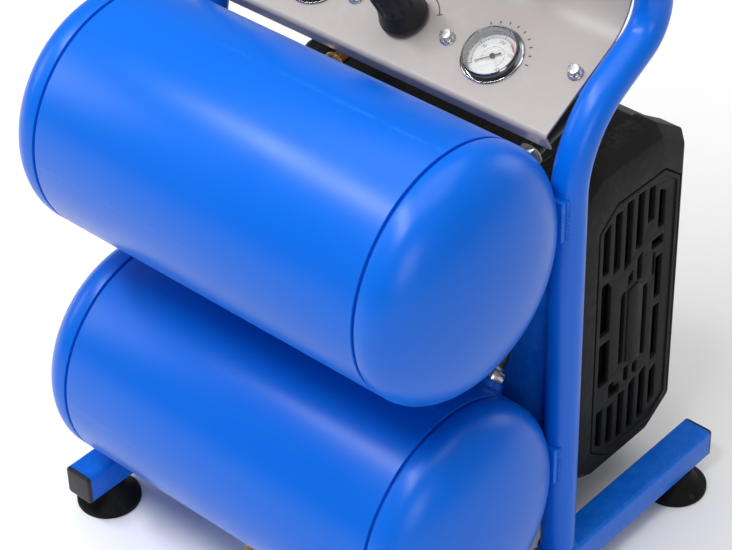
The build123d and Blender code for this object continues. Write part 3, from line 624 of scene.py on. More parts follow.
INK = surface("printed_black", (0.016, 0.016, 0.018), 0.5, mottle=(200, 0.2), grain=(1500, 0.1, 0.02))
GREY_INK = surface("printed_grey", (0.05, 0.048, 0.05), 0.5, mottle=(400, 0.3), grain=(1500, 0.1, 0.02))
INK_RED = surface("printed_red", (0.62, 0.03, 0.03), 0.5, mottle=(200, 0.1), grain=(1500, 0.1, 0.02))
LENS = glass("gauge_lens", (0.97, 0.98, 0.98), 0.015)


# ---- giving pieces to the frame ----
def piece(obj, material, body="root", nodes=()):
    if material is not None:
        obj.data.materials.clear()
        obj.data.materials.append(material)
    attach(obj, body)
    if nodes:
        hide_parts(*nodes)
    return obj


def keep(node, material):
    """A CAD node that stays in view, with a better material."""
    me = NODES[node].data
    me.materials.clear()
    me.materials.append(material)


# ---- tanks ----
SEAM_GAP = 1.3 * MM
SEAM_DEPTH = 3 * MM
FLANGE = 7 * MM


def along_x(y, z, x=0.0, side=1):
    return basis((x, y, z), (side, 0, 0), (0, 0, 1))


def tank_shell(name, centre, node):
    half = SEAM_X - SEAM_GAP
    lip = TANK_R - SEAM_DEPTH
    corners = [(-half, lip), (-half, TANK_R), (half, TANK_R), (half, lip)]
    shell = turned(name, corners, along_x(centre.y, centre.z), 0.6 * MM, 192)
    piece(shell, BLUE, nodes=[node])
    bead = []
    for k in range(260):
        t = -half + 2 * MM + (2 * half - 4 * MM) * k / 259
        bead.append(Vector((t, centre.y + TANK_R * cos(radians(-62)), centre.z + TANK_R * sin(radians(-62)))))
    seam = sweep(name + "_long_weld", bead, 1.8 * MM, 12,
                 radius_at=lambda i, n: (1.8 + 0.28 * sin(i * 1.9)) * MM * (0.3 if i in (0, n - 1) else 1))
    piece(seam, BLUE_WELD)


def tank_head(name, centre, side, node):
    lip = TANK_R - SEAM_DEPTH
    start = SEAM_X + SEAM_GAP
    dome = TANK_TIP_X - SEAM_X - FLANGE
    profile = [(SEAM_X - 2 * MM, lip), (start, lip), (start, TANK_R), (SEAM_X + FLANGE, TANK_R)]
    profile = rounded_profile(profile, 0.6 * MM, 3)
    steps = 56
    for k in range(1, steps + 1):
        a = pi / 2 * (1 - k / steps)
        profile.append(Vector((SEAM_X + FLANGE + dome * cos(a), TANK_R * sin(a) if k < steps else 0.0)))
    head = lathe(name, profile, along_x(centre.y, centre.z, 0, side), 192, smooth_deg=50)
    piece(head, BLUE, nodes=[node])


def tanks():
    for tank, centre in (("upper", UPPER), ("lower", LOWER)):
        tank_shell(tank + "_shell", centre, tank + "_tank_shell")
        tank_head(tank + "_left_head", centre, -1, tank + "_tank_left_head")
        tank_head(tank + "_right_head", centre, 1, tank + "_tank_right_head")


# ---- frame ----
TUBE_BENDS = (79, 31, 48, 48, 31, 79)       # radii in mm, from the left foot over the bar to the right one


def frame_corners(side):
    rise = tan(SLOPE)
    low_z = PANEL_FRONT.z + (TUBE_LOW_Y - PANEL_FRONT.y) * rise
    high_z = low_z + (TUBE_TOP_Y - TUBE_LOW_Y) * rise
    x = side * TUBE_X
    return [(x, TUBE_LOW_Y, RAIL_TOP), (x, TUBE_LOW_Y, low_z),
            (x, TUBE_TOP_Y, high_z), (x, TUBE_TOP_Y, BAR_Z)]


def weld_ring(name, centre, axis, radius, bead=1.6 * MM):
    pts = circle(basis(centre, axis), radius, 120)
    return sweep(name, pts, bead, 10, False, lambda i, n: bead * (1 + 0.16 * sin(i * 2.1)))


def tube_frame():
    left = frame_corners(-1)
    right = frame_corners(1)
    corners = left + right[::-1]
    path = smooth_path(corners, [bend * MM for bend in TUBE_BENDS], 2 * MM)
    tube = sweep("frame_tube", path, TUBE_R, 56, False)
    piece(tube, BLUE, nodes=["left_upright", "right_upright", "handle_bar"])
    for side, word in zip(SIDES, ("left", "right")):
        x = side * TUBE_X
        foot = (x, TUBE_LOW_Y, RAIL_TOP + 0.6 * MM)
        ring = weld_ring(word + "_foot_weld", foot, (0, 0, 1), TUBE_R + 0.4 * MM)
        piece(ring, BLUE_WELD)
        for tank, centre in (("upper", UPPER), ("lower", LOWER)):
            weld_pad(word + "_" + tank + "_pad", x, centre.z)
        panel_tabs(word, side)


def weld_pad(name, x, z):
    y0 = TUBE_LOW_Y - TUBE_R - 3.5 * MM
    pad = box_mesh(name, (x - 7 * MM, y0, z - 16 * MM), (x + 7 * MM, y0 + 9 * MM, z + 16 * MM), 1.2 * MM)
    piece(pad, BLUE)
    for side in SIDES:
        xe = x + side * 7 * MM
        run = [Vector((xe, TUBE_LOW_Y - TUBE_R * 0.86, z + t * MM)) for t in range(-16, 17)]
        bead = sweep(name + ("_weld_a" if side < 0 else "_weld_b"), run, 1.5 * MM, 10,
                     radius_at=lambda i, n: (1.5 + 0.3 * sin(i * 2.3)) * MM)
        piece(bead, BLUE_WELD)


def panel_tabs(word, side):
    inner = side * 128 * MM
    outer = side * TUBE_X
    width = abs(outer - inner)
    mid = (inner + outer) / 2
    for part, place in (("low", slope_place(mid, SLOPE_BOLTS[1][1], -5.1 * MM)),
                        ("high", front_place(mid, TOP_BOLT_Z, TUBE_TOP_Y + 4.1 * MM))):
        outline = rounded_rect(width, 24 * MM, 4 * MM)
        tab = prism(word + "_" + part + "_tab", outline, 4 * MM, place, 0.6 * MM)
        piece(tab, BLUE)


def grip():
    """Ribbed rubber sleeve with thicker collars at its ends."""
    low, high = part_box("handle_grip")
    half = high.x
    r = (high.z - low.z) / 2
    corners = [(-half, TUBE_R), (-half, r), (-half + 9 * MM, r)]
    ribs = 22
    span = 2 * half - 18 * MM
    pitch = span / ribs
    for k in range(ribs):
        h = -half + 9 * MM + k * pitch
        corners += [(h + pitch * 0.18, r - 1.1 * MM), (h + pitch * 0.42, r - 1.1 * MM),
                    (h + pitch * 0.60, r - 0.1 * MM), (h + pitch, r - 0.1 * MM)]
    corners += [(half - 9 * MM, r), (half, r), (half, TUBE_R)]
    radii = [1.8 * MM] + [0.5 * MM] * (len(corners) - 4) + [1.8 * MM]
    profile = rounded_profile(corners, radii, 3)
    sleeve = lathe("bar_grip", profile, along_x(TUBE_TOP_Y, BAR_Z), 72, smooth_deg=50)
    piece(sleeve, RUBBER, nodes=["handle_grip"])


# ---- base ----
def rails():
    low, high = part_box("left_base_rail")
    for side, word in zip(SIDES, ("left", "right")):
        x = side * TUBE_X
        place = basis((x, low.y, (low.z + high.z) / 2), (0, 1, 0))
        outline = rounded_rect(RAIL, RAIL, 3 * MM, 8)
        rail = prism(word + "_rail", outline, high.y - low.y, place, 0)
        piece(rail, BLUE, nodes=[word + "_base_rail"])
    end_caps()
    feet()


def end_caps():
    low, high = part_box("rail_end_caps")
    mid = (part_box("left_base_rail")[0].z + RAIL_TOP) / 2
    caps = []
    for side in SIDES:
        for y, out in ((low.y, -1), (high.y, 1)):
            place = basis((side * TUBE_X, y - out * 3 * MM, mid), (0, out, 0))
            outline = rounded_rect(RAIL, RAIL, 3 * MM, 6)
            outer = [Vector(p) for p in outline]
            rings = [(outer, 0.0), (outer, 1.7 * MM), (inset(outer, 0.5 * MM), 2.5 * MM),
                     (inset(outer, 1.3 * MM), 2.9 * MM), (inset(outer, 2.6 * MM), 3.0 * MM)]
            caps.append(ring_loft("cap", rings, place, True, 45))
    piece(joined("rail_plugs", caps), BLACK, nodes=["rail_end_caps"])


def feet():
    low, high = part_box("rubber_feet")
    r = 25 * MM
    top = high.z
    ys = (low.y + r, high.y - r)
    made = []
    for side in SIDES:
        for y in ys:
            corners = [(4 * MM, 0), (4 * MM, 9 * MM), (0, 10.5 * MM), (0, r - 0.6 * MM), (0.9 * MM, r),
                       (4.6 * MM, r), (5.6 * MM, r - 1.6 * MM), (9.5 * MM, r - 7.4 * MM), (15 * MM, 14.2 * MM),
                       (top - 1 * MM, 13.2 * MM), (top, 13 * MM), (top, 0)]
            radii = [r_mm * MM for r_mm in (0.3, 0.8, 0.8, 0.8, 1.0, 0.8, 3, 4, 0.6, 0.5)]
            place = basis((side * TUBE_X, y, 0), (0, 0, 1))
            made.append(lathe("foot", rounded_profile(corners, radii, 4), place, 80, smooth_deg=45))
    piece(joined("foot_pads", made), RUBBER, nodes=["rubber_feet"])


# ---- control panel ----
def panel():
    back_y = TUBE_TOP_Y - 1 * MM
    front = Vector((PANEL_FRONT.y, PANEL_FRONT.z))
    bend = Vector((back_y, front.y + (back_y - front.x) * tan(SLOPE)))
    lip = front + Vector((sin(SLOPE), -cos(SLOPE))) * PANEL_LIP
    corners = [lip, front, bend, Vector((back_y, PANEL_TOP))]
    path = [corners[0]] + arc_corner(corners[0], corners[1], corners[2], 3 * MM, 8)
    path += arc_corner(corners[1], corners[2], corners[3], PANEL_BEND_R, 28) + [corners[3]]
    sheet = bent_sheet("panel_sheet", path, 2 * MM, PANEL_HALF)
    depth = 4 * MM
    profile = [(-depth, 0), (-depth, GAUGE_HOLE_R), (depth, GAUGE_HOLE_R), (depth, 0)]
    holes = [lathe("hole", profile, slope_place(side * GAUGE_X, GAUGE_S)) for side in SIDES]
    bevelled(cut(sheet, holes, 30), 0.55 * MM, 2, 40)
    piece(sheet, PANEL, nodes=["control_panel"])


def flange_bolt(name, place):
    """Hex bolt with a round flange and a shallow dished head."""
    corners = mm((1.1, 0), (1.1, 5.6), (1.6, 5.6), (2.9, 4.1), (2.9, 0))
    washer = turned(name + "_flange", corners, place, 0.25 * MM, 48)
    head = hex_block(name + "_head", 7.6 * MM, 2.4 * MM, 7.2 * MM, place)
    return [washer, head]


def bolts():
    made = []
    for side in SIDES:
        for x, s in SLOPE_BOLTS:
            made += flange_bolt("b", slope_place(side * x, s))
        made += flange_bolt("b", front_place(side * TOP_BOLT_X, TOP_BOLT_Z, TUBE_TOP_Y - 1 * MM))
    piece(joined("panel_fixings", made), ZINC, nodes=["panel_bolts"])


# ---- gauges ----
SCALE_START = 222
SCALE_SWEEP = 260
DIAL_FACE = -0.35 * MM


def arc_band(name, r0, r1, a0, a1, place, h, thickness=0.06 * MM, steps=40):
    """Thin printed arc between two angles, in degrees."""
    angles = [radians(a0 + (a1 - a0) * k / steps) for k in range(steps + 1)]
    rows = [(r * cos(a), r * sin(a)) for r in (r0, r1) for a in angles]
    verts = [Vector((x, y, h + dz)) for dz in (0, thickness) for x, y in rows]
    n = steps + 1
    m = 2 * n
    faces = []
    for k in range(steps):
        faces.append([k, k + 1, n + k + 1, n + k])
        faces.append([m + k, m + n + k, m + n + k + 1, m + k + 1])
        faces.append([k, m + k, m + k + 1, k + 1])
        faces.append([n + k, n + k + 1, m + n + k + 1, m + n + k])
    faces.append([0, n, m + n, m])
    faces.append([steps, m + steps, m + n + steps, n + steps])
    return mesh_object(name, verts, faces, place)


def tick(name, angle, r0, r1, width, place, h):
    spin = place @ turn_about("Z", angle)
    verts = [Vector((r, w, h + dz)) for dz in (0, 0.06 * MM) for r, w in
             ((r0, -width / 2), (r1, -width / 2), (r1, width / 2), (r0, width / 2))]
    faces = [[0, 3, 2, 1], [4, 5, 6, 7]] + [[k, (k + 1) % 4, 4 + (k + 1) % 4, 4 + k] for k in range(4)]
    return mesh_object(name, verts, faces, spin)


def numeral(text, x, y, size, place, h):
    curve = bpy.data.curves.new("numeral", "FONT")
    curve.body = text
    curve.size = size
    curve.align_x = "CENTER"
    curve.align_y = "CENTER"
    curve.extrude = 0.03 * MM
    curve.resolution_u = 3
    me = curve_mesh("numeral", curve, place @ Matrix.Translation((x, y, h + 0.03 * MM)))
    return link(bpy.data.objects.new("numeral", me))


def gauge(word, side):
    place = slope_place(side * GAUGE_X, GAUGE_S)
    wall = 20 * MM
    inner = 18.35 * MM
    corners = [(1.05 * MM, 18.6 * MM), (1.05 * MM, 22.5 * MM), (1.7 * MM, 22.5 * MM),
               (2.3 * MM, 21.6 * MM), (2.3 * MM, wall - 0.3 * MM)]
    ring = turned(word + "_flange", corners, place, 0.25 * MM, 128)
    piece(ring, CHROME)
    corners = mm((-22, 0), (-22, 5), (-14, 5), (-14, 19), (1.5, 19), (1.5, 18.4), (-1.4, 18.4))
    case = turned(word + "_case", corners, place, 0.35 * MM, 128)
    piece(case, BLACK, nodes=[word + "_gauge_case"])
    corners = [(1.4 * MM, 19.2 * MM), (2.2 * MM, wall), (6.9 * MM, wall), (8.0 * MM, wall - 0.9 * MM),
               (8.0 * MM, 18.75 * MM), (7.7 * MM, inner), (7.3 * MM, inner)]
    bezel = turned(word + "_bezel", corners, place, 0.4 * MM, 128)
    # Bezel colour is darkened chrome, a painted dark reflection.
    piece(bezel, BEZEL_CHROME_DARK_REFLECTION)
    corners = [(7.4 * MM, inner), (0.4 * MM, inner - 0.15 * MM), (-0.25 * MM, inner - 1.0 * MM)]
    lining = turned(word + "_inner_wall", corners, place, 0.2 * MM, 128)
    piece(lining, RIM_GREY)
    dial(word, place)
    pointer(word, place)


def dial(word, place):
    corners = [(-1.4 * MM, 0), (-1.4 * MM, DIAL_R), (DIAL_FACE, DIAL_R), (DIAL_FACE, 0)]
    face = turned(word + "_dial_plate", corners, place, 0.1 * MM, 96)
    piece(face, DIAL, nodes=[word + "_gauge_dial"])
    marks = [arc_band("m", 14.6 * MM, 14.85 * MM, SCALE_START, SCALE_START - SCALE_SWEEP, place, DIAL_FACE),
             arc_band("m", 8.0 * MM, 8.15 * MM, SCALE_START, SCALE_START - SCALE_SWEEP, place, DIAL_FACE)]
    for k in range(41):
        angle = SCALE_START - SCALE_SWEEP * k / 40
        long = k % 10 == 0
        half = k % 5 == 0
        end = 17.0 if long else 16.3 if half else 15.8
        marks.append(tick("m", angle, 14.7 * MM, end * MM, (0.55 if long else 0.3) * MM, place, DIAL_FACE))
        if k % 4 == 0:
            marks.append(tick("m", angle, 7.2 * MM, 8.1 * MM, 0.25 * MM, place, DIAL_FACE))
    for k in range(5):
        angle = radians(SCALE_START - SCALE_SWEEP * k / 4)
        x, y = 11.6 * MM * cos(angle), 11.6 * MM * sin(angle)
        marks.append(numeral(str(50 * k), x, y, 3.3 * MM, place, DIAL_FACE))
    piece(joined(word + "_dial_scale", marks), INK)
    red = arc_band(word + "_dial_limit", 13.6 * MM, 14.5 * MM, 64, 38, place, DIAL_FACE + 0.02 * MM)
    piece(red, INK_RED)


def pointer(word, place):
    turn = place @ turn_about("Z", SCALE_START)
    outline = mm((-6, -0.75), (-2, -0.45), (11.5, -0.28), (13.2, 0), (11.5, 0.28), (-2, 0.45), (-6, 0.75))
    blade = prism("blade", outline, 0.35 * MM, turn @ lift(1.0 * MM), 0.08 * MM, 1)
    hub = turned("hub", mm((0.5, 0), (0.5, 1.8), (1.7, 1.8), (2.0, 1.1), (2.0, 0)), place, 0.2 * MM, 40)
    needle = joined(word + "_pointer", [blade, hub])
    piece(needle, INK, word + "_needle", [word + "_gauge_needle"])


def lenses():
    made = []
    for side in SIDES:
        place = slope_place(side * GAUGE_X, GAUGE_S)
        profile = mm((6.2, 0), (6.2, 18.2), (7.2, 18.2))
        for k in range(1, 9):
            t = k / 8
            profile.append((7.2 * MM + 0.6 * MM * (1 - (1 - t) ** 2), DIAL_R * (1 - t)))
        made.append(lathe("lens", profile, place, 96))
    piece(joined("gauge_glasses", made), LENS, nodes=["gauge_lenses"])


def panel_print():
    """Plain arcs and dots round each gauge and the knob, in place of lettering."""
    marks = []
    for side in SIDES:
        place = slope_place(side * GAUGE_X, GAUGE_S)
        for k in range(9):
            a = 128 - 15 * k
            marks.append(tick("p", a, 25.2 * MM, 27.4 * MM, 1.0 * MM, place, 1.0 * MM))
    place = slope_place(KNOB_X, KNOB_S)
    marks.append(arc_band("p", 23.5 * MM, 24.4 * MM, 150, 30, place, 1.0 * MM))
    for a in (150, 30):
        marks.append(tick("p", a, 22.0 * MM, 26.0 * MM, 0.9 * MM, place, 1.0 * MM))
    piece(joined("panel_marks", marks), GREY_INK)


# ---- regulator ----
def regulator():
    place = slope_place(KNOB_X, KNOB_S)

    def grip_shape(a, h):
        if h < 21 * MM:
            return 1.0
        t = min(1.0, (h - 21 * MM) / (4 * MM)) * min(1.0, max(0.0, (43.4 * MM - h) / (3 * MM)))
        return 1.0 - 0.085 * t * (0.5 + 0.5 * cos(12 * a)) ** 3

    corners = mm((4.2, 9), (4.2, 17.3), (7.6, 17.3), (9.4, 16.6), (20, 14.3), (22, 14.4))
    for k in range(12):
        corners.append((23 * MM + k * 1.5 * MM, (14.4 + 0.075 * k) * MM))
    corners += mm((42.2, 15.4), (44, 13.6), (44, 10.5), (43.2, 10.0), (43.2, 0))
    knob = lathe("regulator_grip", rounded_profile(corners, 0.8 * MM, 3), place, 192, grip_shape, 50)
    piece(knob, KNOB, "regulator_knob", ["regulator_knob"])
    arrow = [arc_band("a", 5.2 * MM, 6.4 * MM, 150, 20, place, 43.2 * MM)]
    tip = prism("a", mm((-1.9, 0), (1.9, 0), (0, -2.8)), 0.06 * MM,
                place @ turn_about("Z", 15) @ Matrix.Translation((5.8 * MM, 0.6 * MM, 43.2 * MM)), 0)
    arrow.append(tip)
    piece(joined("turn_arrow", arrow), DIAL, "regulator_knob")
    collar = turned("regulator_collar", mm((1.05, 9), (1.05, 14), (3.6, 14), (3.6, 8)),
                    place, 0.3 * MM, 72)
    piece(collar, BLACK)
    body = [turned("r", mm((-34, 0), (-34, 15), (-31, 18), (-8, 18), (-8, 12), (0, 12)), place, 1.2 * MM, 72),
            hex_block("r", 24 * MM, -42 * MM, -33.8 * MM, place, False)]
    piece(joined("regulator_case", body), ALLOY, nodes=["regulator_body"])


# ---- couplers ----
def coupler(word):
    centre = middle(word + "_coupler_body")
    place = front_place(centre.x, centre.z)
    base = hex_block("c", 22 * MM, 0.1 * MM, 9 * MM, place)
    corners = mm((8.5, 8), (9, 9.3), (11, 8.2), (44.2, 8.2), (44.2, 9.4), (46, 9.4), (46, 6.6),
                 (44.6, 6.0), (24, 6.0), (24, 3), (20, 3), (20, 0))
    tube = turned("c", corners, place, 0.35 * MM, 96)
    piece(joined(word + "_coupler_tube", [base, tube]), BRASS, nodes=[word + "_coupler_body"])

    def knurl(a, h):
        inside = 24.5 * MM < h < 35.5 * MM
        return 1.0 + (0.010 * cos(48 * a) if inside else 0.0)

    rings = mm((19, 8.3), (19, 11.4), (20, 12), (22, 12), (22.6, 11.2), (24, 11.2))
    for k in range(7):
        rings.append((24.6 * MM + k * 1.8 * MM, 11.75 * MM))
    rings += mm((36, 11.2), (38, 11.2), (38.8, 12), (42.4, 12), (43.8, 10.8), (43.8, 8.3), (19, 8.3))
    sleeve = lathe(word + "_coupler_collar", rounded_profile(rings, 0.3 * MM, 2), place, 192, knurl, 40)
    piece(sleeve, STEEL, word + "_sleeve", [word + "_coupler_sleeve"])


# ---- pressure switch, manifold, valves ----
def switch():
    low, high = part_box("pressure_switch_body")
    knob_z = middle("pressure_switch_knob").z
    place = front_place(0, knob_z, PANEL_FACE_Y + 1 * MM)

    def ribs(a, h):
        return 1.0 - 0.03 * (0.5 + 0.5 * cos(24 * a)) if 9.5 * MM < h < 17 * MM else 1.0

    corners = mm((8, 4), (8, 15), (9.6, 15), (11, 14.9), (13, 14.6), (15, 14.3), (16.8, 14.1),
                 (18.4, 13.8), (20, 12.2), (19.4, 9), (18.9, 0))
    cap = lathe("switch_cap", rounded_profile(corners, 0.9 * MM, 3), place, 144, ribs, 50)
    stem = turned("stem", mm((-8.5, 0), (-8.5, 5), (8.5, 5), (8.5, 0)), place, 0.3 * MM, 48)
    piece(joined("switch_button", [cap, stem]), RED, "switch_knob", ["pressure_switch_knob"])
    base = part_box("manifold")[1].z + 0.3 * MM
    lower = box_mesh("s", (low.x, low.y, base), (high.x, high.y, high.z - 16 * MM), 1.6 * MM, 4)
    lid = box_mesh("s", (low.x + 0.6 * MM, low.y + 0.6 * MM, high.z - 15.4 * MM),
                   (high.x - 0.6 * MM, high.y - 0.6 * MM, high.z), 3.2 * MM, 5)
    neck = box_mesh("s", (-14 * MM, low.y + 26 * MM, low.z),
                    (14 * MM, high.y - 2 * MM, base + 1 * MM), 1.2 * MM)
    ribs_made = []
    for k in range(5):
        x = low.x + 12 * MM + k * 11 * MM
        ribs_made.append(box_mesh("s", (x, high.y - 1.2 * MM, base + 6 * MM),
                                  (x + 3 * MM, high.y - 0.1 * MM, base + 22 * MM), 0.4 * MM))
    piece(joined("switch_housing", [lower, lid, neck] + ribs_made), BLACK,
          nodes=["pressure_switch_body"])
    gland()


def behind_panel(node):
    """Place at the node's right end, looking left."""
    centre = middle(node)
    return basis((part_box(node)[1].x, centre.y, centre.z), (-1, 0, 0), (0, 1, 0))


def gland():
    place = behind_panel("cord_gland")
    nut = hex_block("g", 19 * MM, 0, 5 * MM, place)
    corners = mm((4.8, 8), (13, 8), (16.6, 7), (18, 6), (18, 4.2), (6, 4.2), (6, 0))
    nose = turned("g", corners, place, 0.7 * MM, 64)
    piece(joined("cord_inlet", [nut, nose]), BLACK, nodes=["cord_gland"])


def manifold():
    low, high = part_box("manifold")
    front = low.y
    rail = box_mesh("m", (low.x, front, low.z), (high.x, front + 18 * MM, high.z), 1.0 * MM)
    plug = hex_block("m", 14 * MM, 0, 12 * MM, basis((0, front + 17.9 * MM, (low.z + high.z) / 2), (0, 1, 0)))
    piece(joined("air_manifold", [rail, plug]), ALLOY, nodes=["manifold"])


def safety_valve():
    place = behind_panel("safety_valve_body")
    nut = hex_block("v", 15 * MM, 0, 8 * MM, place)
    corners = mm((7.8, 6.4), (9.5, 5.2), (11, 5.2), (11, 6), (13, 6), (13, 5.3), (15, 5.3), (15, 6),
                 (24.5, 6), (26, 4.6), (26, 2.3), (14, 2.3))
    barrel = turned("v", corners, place, 0.3 * MM, 64)
    piece(joined("safety_valve_case", [nut, barrel]), BRASS, nodes=["safety_valve_body"])
    stem = turned("p", mm((12, 0), (12, 2), (30.6, 2), (31.4, 1.2), (31.4, 0)), place, 0.3 * MM, 32)
    spin = place @ lift(38 * MM) @ turn_about("X", 90)
    ring = sweep("p", circle(spin, 8 * MM, 72), 1.25 * MM, 20, False)
    piece(joined("safety_ring", [stem, ring]), STEEL, "safety_pull", ["safety_valve_pull"])


# ---- tank fittings and pipes ----
PORTS = {"riser": (UPPER, 128, 14), "check": (UPPER, -62, 5), "link_top": (UPPER, 120, -40),
         "link_low": (LOWER, 120, 40), "drain": (LOWER, 0, -118)}
BUNG = 6 * MM


def port(name):
    tank, x, angle = PORTS[name]
    return tank_place(tank, x * MM, angle)


def bungs():
    made = []
    for name in PORTS:
        place = port(name)
        corners = [(-2 * MM, 5.2 * MM), (-2 * MM, 11 * MM), (BUNG, 11 * MM), (BUNG, 5.2 * MM)]
        made.append(turned("b", corners, place, 0.8 * MM, 64))
    piece(joined("tank_bosses", made), BLUE, nodes=["tank_bungs"])
    for name in PORTS:
        tank, x, angle = PORTS[name]
        pts = []
        for k in range(97):
            a = 2 * pi * k / 96
            u, v = 11.2 * MM * cos(a), 11.2 * MM * sin(a)
            t = radians(angle) + asin(v / TANK_R)
            pts.append(Vector((x * MM + u, tank.y + TANK_R * cos(t), tank.z + TANK_R * sin(t))))
        ring = sweep(name + "_boss_weld", pts, 1.4 * MM, 10, False,
                     lambda i, n: (1.4 + 0.22 * sin(i * 1.9)) * MM)
        piece(ring, BLUE_WELD)


def pipes():
    low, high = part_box("manifold")
    back = low.y + 9 * MM
    coupler_z = (low.z + high.z) / 2
    riser = port("riser")
    start = riser @ Vector((0, 0, BUNG + 12 * MM))
    out = riser.to_3x3() @ Vector((0, 0, 1))
    low_z = start.z + (back - start.y) * out.z / out.y
    x = 106 * MM
    corners = [start, (start.x, back, low_z), (x, back, low_z + start.x - x), (x, back, coupler_z - 14 * MM),
               (x - 14 * MM, back, coupler_z), (82 * MM, back, coupler_z)]
    path = smooth_path(corners, 12 * MM, 1.5 * MM)
    runs = [sweep("t", path, AIR_LINE_R, 32)]
    reg = slope_place(KNOB_X, KNOB_S)
    bottom = reg @ Vector((0, 0, -42 * MM))
    elbow = reg @ Vector((0, 0, -58 * MM))
    line = smooth_path([bottom, elbow, (elbow.x, back, elbow.z), (elbow.x, back, low.z)], 12 * MM, 1.5 * MM)
    runs.append(sweep("t", line, AIR_LINE_R, 32))
    piece(joined("control_lines", runs), HOSE, nodes=["air_pipes"])
    top, bot = port("link_top"), port("link_low")
    ends = [top @ Vector((0, 0, 14 * MM)), top @ Vector((0, 0, 25 * MM)), bot @ Vector((0, 0, 25 * MM)),
            bot @ Vector((0, 0, 14 * MM))]
    hose = sweep("tank_link_hose", smooth_path(ends, 9 * MM, 1 * MM), AIR_LINE_R, 32)
    piece(hose, HOSE)
    nuts = [hex_block("n", 17 * MM, BUNG, BUNG + h, place)
            for place, h in ((riser, 12 * MM), (top, 8 * MM), (bot, 8 * MM))]
    for place in (top, bot):
        nuts.append(turned("n", mm((7.8, 6.5), (10.5, 6.3), (10.5, 5), h=BUNG),
                           place, 0.4 * MM, 48))
    end = basis((high.x, back, coupler_z), (1, 0, 0), (0, 1, 0))
    nuts.append(hex_block("n", 15 * MM, 0, 10 * MM, end))
    piece(joined("pipe_nuts", nuts), ZINC, nodes=["pipe_fittings"])


def check_valve():
    place = port("check")
    body = [hex_block("k", 20 * MM, BUNG, BUNG + 14 * MM, place),
            turned("k", mm((13.8, 8), (19, 8), (19, 7.2), (20.4, 7.2), (20.4, 8), (26, 8), (26, 4.6), h=BUNG),
                   place, 0.4 * MM, 64)]
    piece(joined("check_valve_case", body), BRASS, nodes=["check_valve"])
    start = place @ Vector((0, 0, BUNG + 26 * MM))
    out = place.to_3x3() @ Vector((0, 0, 1))
    low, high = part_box("discharge_pipe")
    y = high.y - 5 * MM
    turn = Vector((start.x, y, start.z + (y - start.y) * out.z / out.y))
    path = smooth_path([start, turn, (start.x, y, low.z)], 20 * MM, 1.5 * MM)
    pipe = sweep("discharge_line", path, AIR_LINE_R, 32)
    piece(pipe, COPPER, nodes=["discharge_pipe"])


def drain():
    place = port("drain")
    body = [hex_block("d", 15 * MM, BUNG, BUNG + 8 * MM, place),
            turned("d", mm((7.8, 6), (10, 6), (10, 5.2), (11.2, 5.2), (11.2, 6), (15, 6), (15, 2.6), h=BUNG),
                   place, 0.35 * MM, 64)]
    piece(joined("drain_valve_case", body), BRASS, nodes=["drain_valve_body"])
    outline = []
    for k in range(72):
        a = 2 * pi * k / 72
        w = 13 * MM * abs(cos(a)) ** 0.6 * (1 if cos(a) >= 0 else -1)
        outline.append((w, (2.4 + 2.1 * abs(cos(a))) * MM * sin(a)))
    turn = place @ Matrix.Translation((0, 1.6 * MM, BUNG + 23 * MM)) @ turn_about("X", 90)
    wing = prism("w", outline, 3.2 * MM, turn, 0.7 * MM, 3)
    stem = turned("w", mm((7, 0), (7, 2.45), (20, 2.45), (20, 3.4), (24, 3.0), (24, 0), h=BUNG),
                  place, 0.3 * MM, 48)
    piece(joined("drain_wing_nut", [wing, stem]), BRASS, "drain_wing", ["drain_valve_wing"])


# ---- hood ----
HOOD_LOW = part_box("hood_right_cap")[0].z
CAP_X, HOOD_BACK, HOOD_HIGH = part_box("hood_right_cap")[1]
HOOD_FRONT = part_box("hood_cover")[0].y
HOOD_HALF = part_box("hood_cover")[1].x
CAP_FRONT = HOOD_BACK - 139 * MM
CHAMFER = (33 * MM, 22 * MM)


def octagon(y0, y1, z0, z1, dy, dz):
    """Rectangle with cut corners."""
    return [(y0, z0 + dz), (y0 + dy, z0), (y1 - dy, z0), (y1, z0 + dz),
            (y1, z1 - dz), (y1 - dy, z1), (y0 + dy, z1), (y0, z1 - dz)]


def hood_cover():
    step = 2 * MM
    z0, z1, y1 = HOOD_LOW + step, HOOD_HIGH - step, HOOD_BACK - step
    dy, dz = CHAMFER
    half = 1.5 * MM
    corners = [(HOOD_FRONT, z0 + half), (y1 - dy, z0 + half), (y1 - half, z0 + dz),
               (y1 - half, z1 - dz), (y1 - dy, z1 - half), (HOOD_FRONT, z1 - half)]
    path = rounded_profile(corners, 7 * MM, 6)
    sheet = bent_sheet("hood_shell", path, 2 * half, HOOD_HALF)
    vents = []
    for k in range(7):
        z = HOOD_LOW + (92 + 17 * k) * MM
        outline = rounded_rect(140 * MM, 6 * MM, 2.9 * MM)
        place = basis((0, y1 - 7 * MM, z), (0, 1, 0))
        vents.append(prism("vent", outline, 12 * MM, place, 0))
    hole = middle("discharge_pipe")
    vents.append(lathe("vent", mm((-12, 0), (-12, 8), (12, 8), (12, 0)),
                       basis((hole.x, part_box("discharge_pipe")[1].y - 5 * MM, z1), (0, 0, 1)), 48))
    cut(sheet, vents)
    bevelled(sheet, 0.5 * MM, 2, 40)
    piece(sheet, HOOD, nodes=["hood_cover"])
    hood_details(y1, z1)


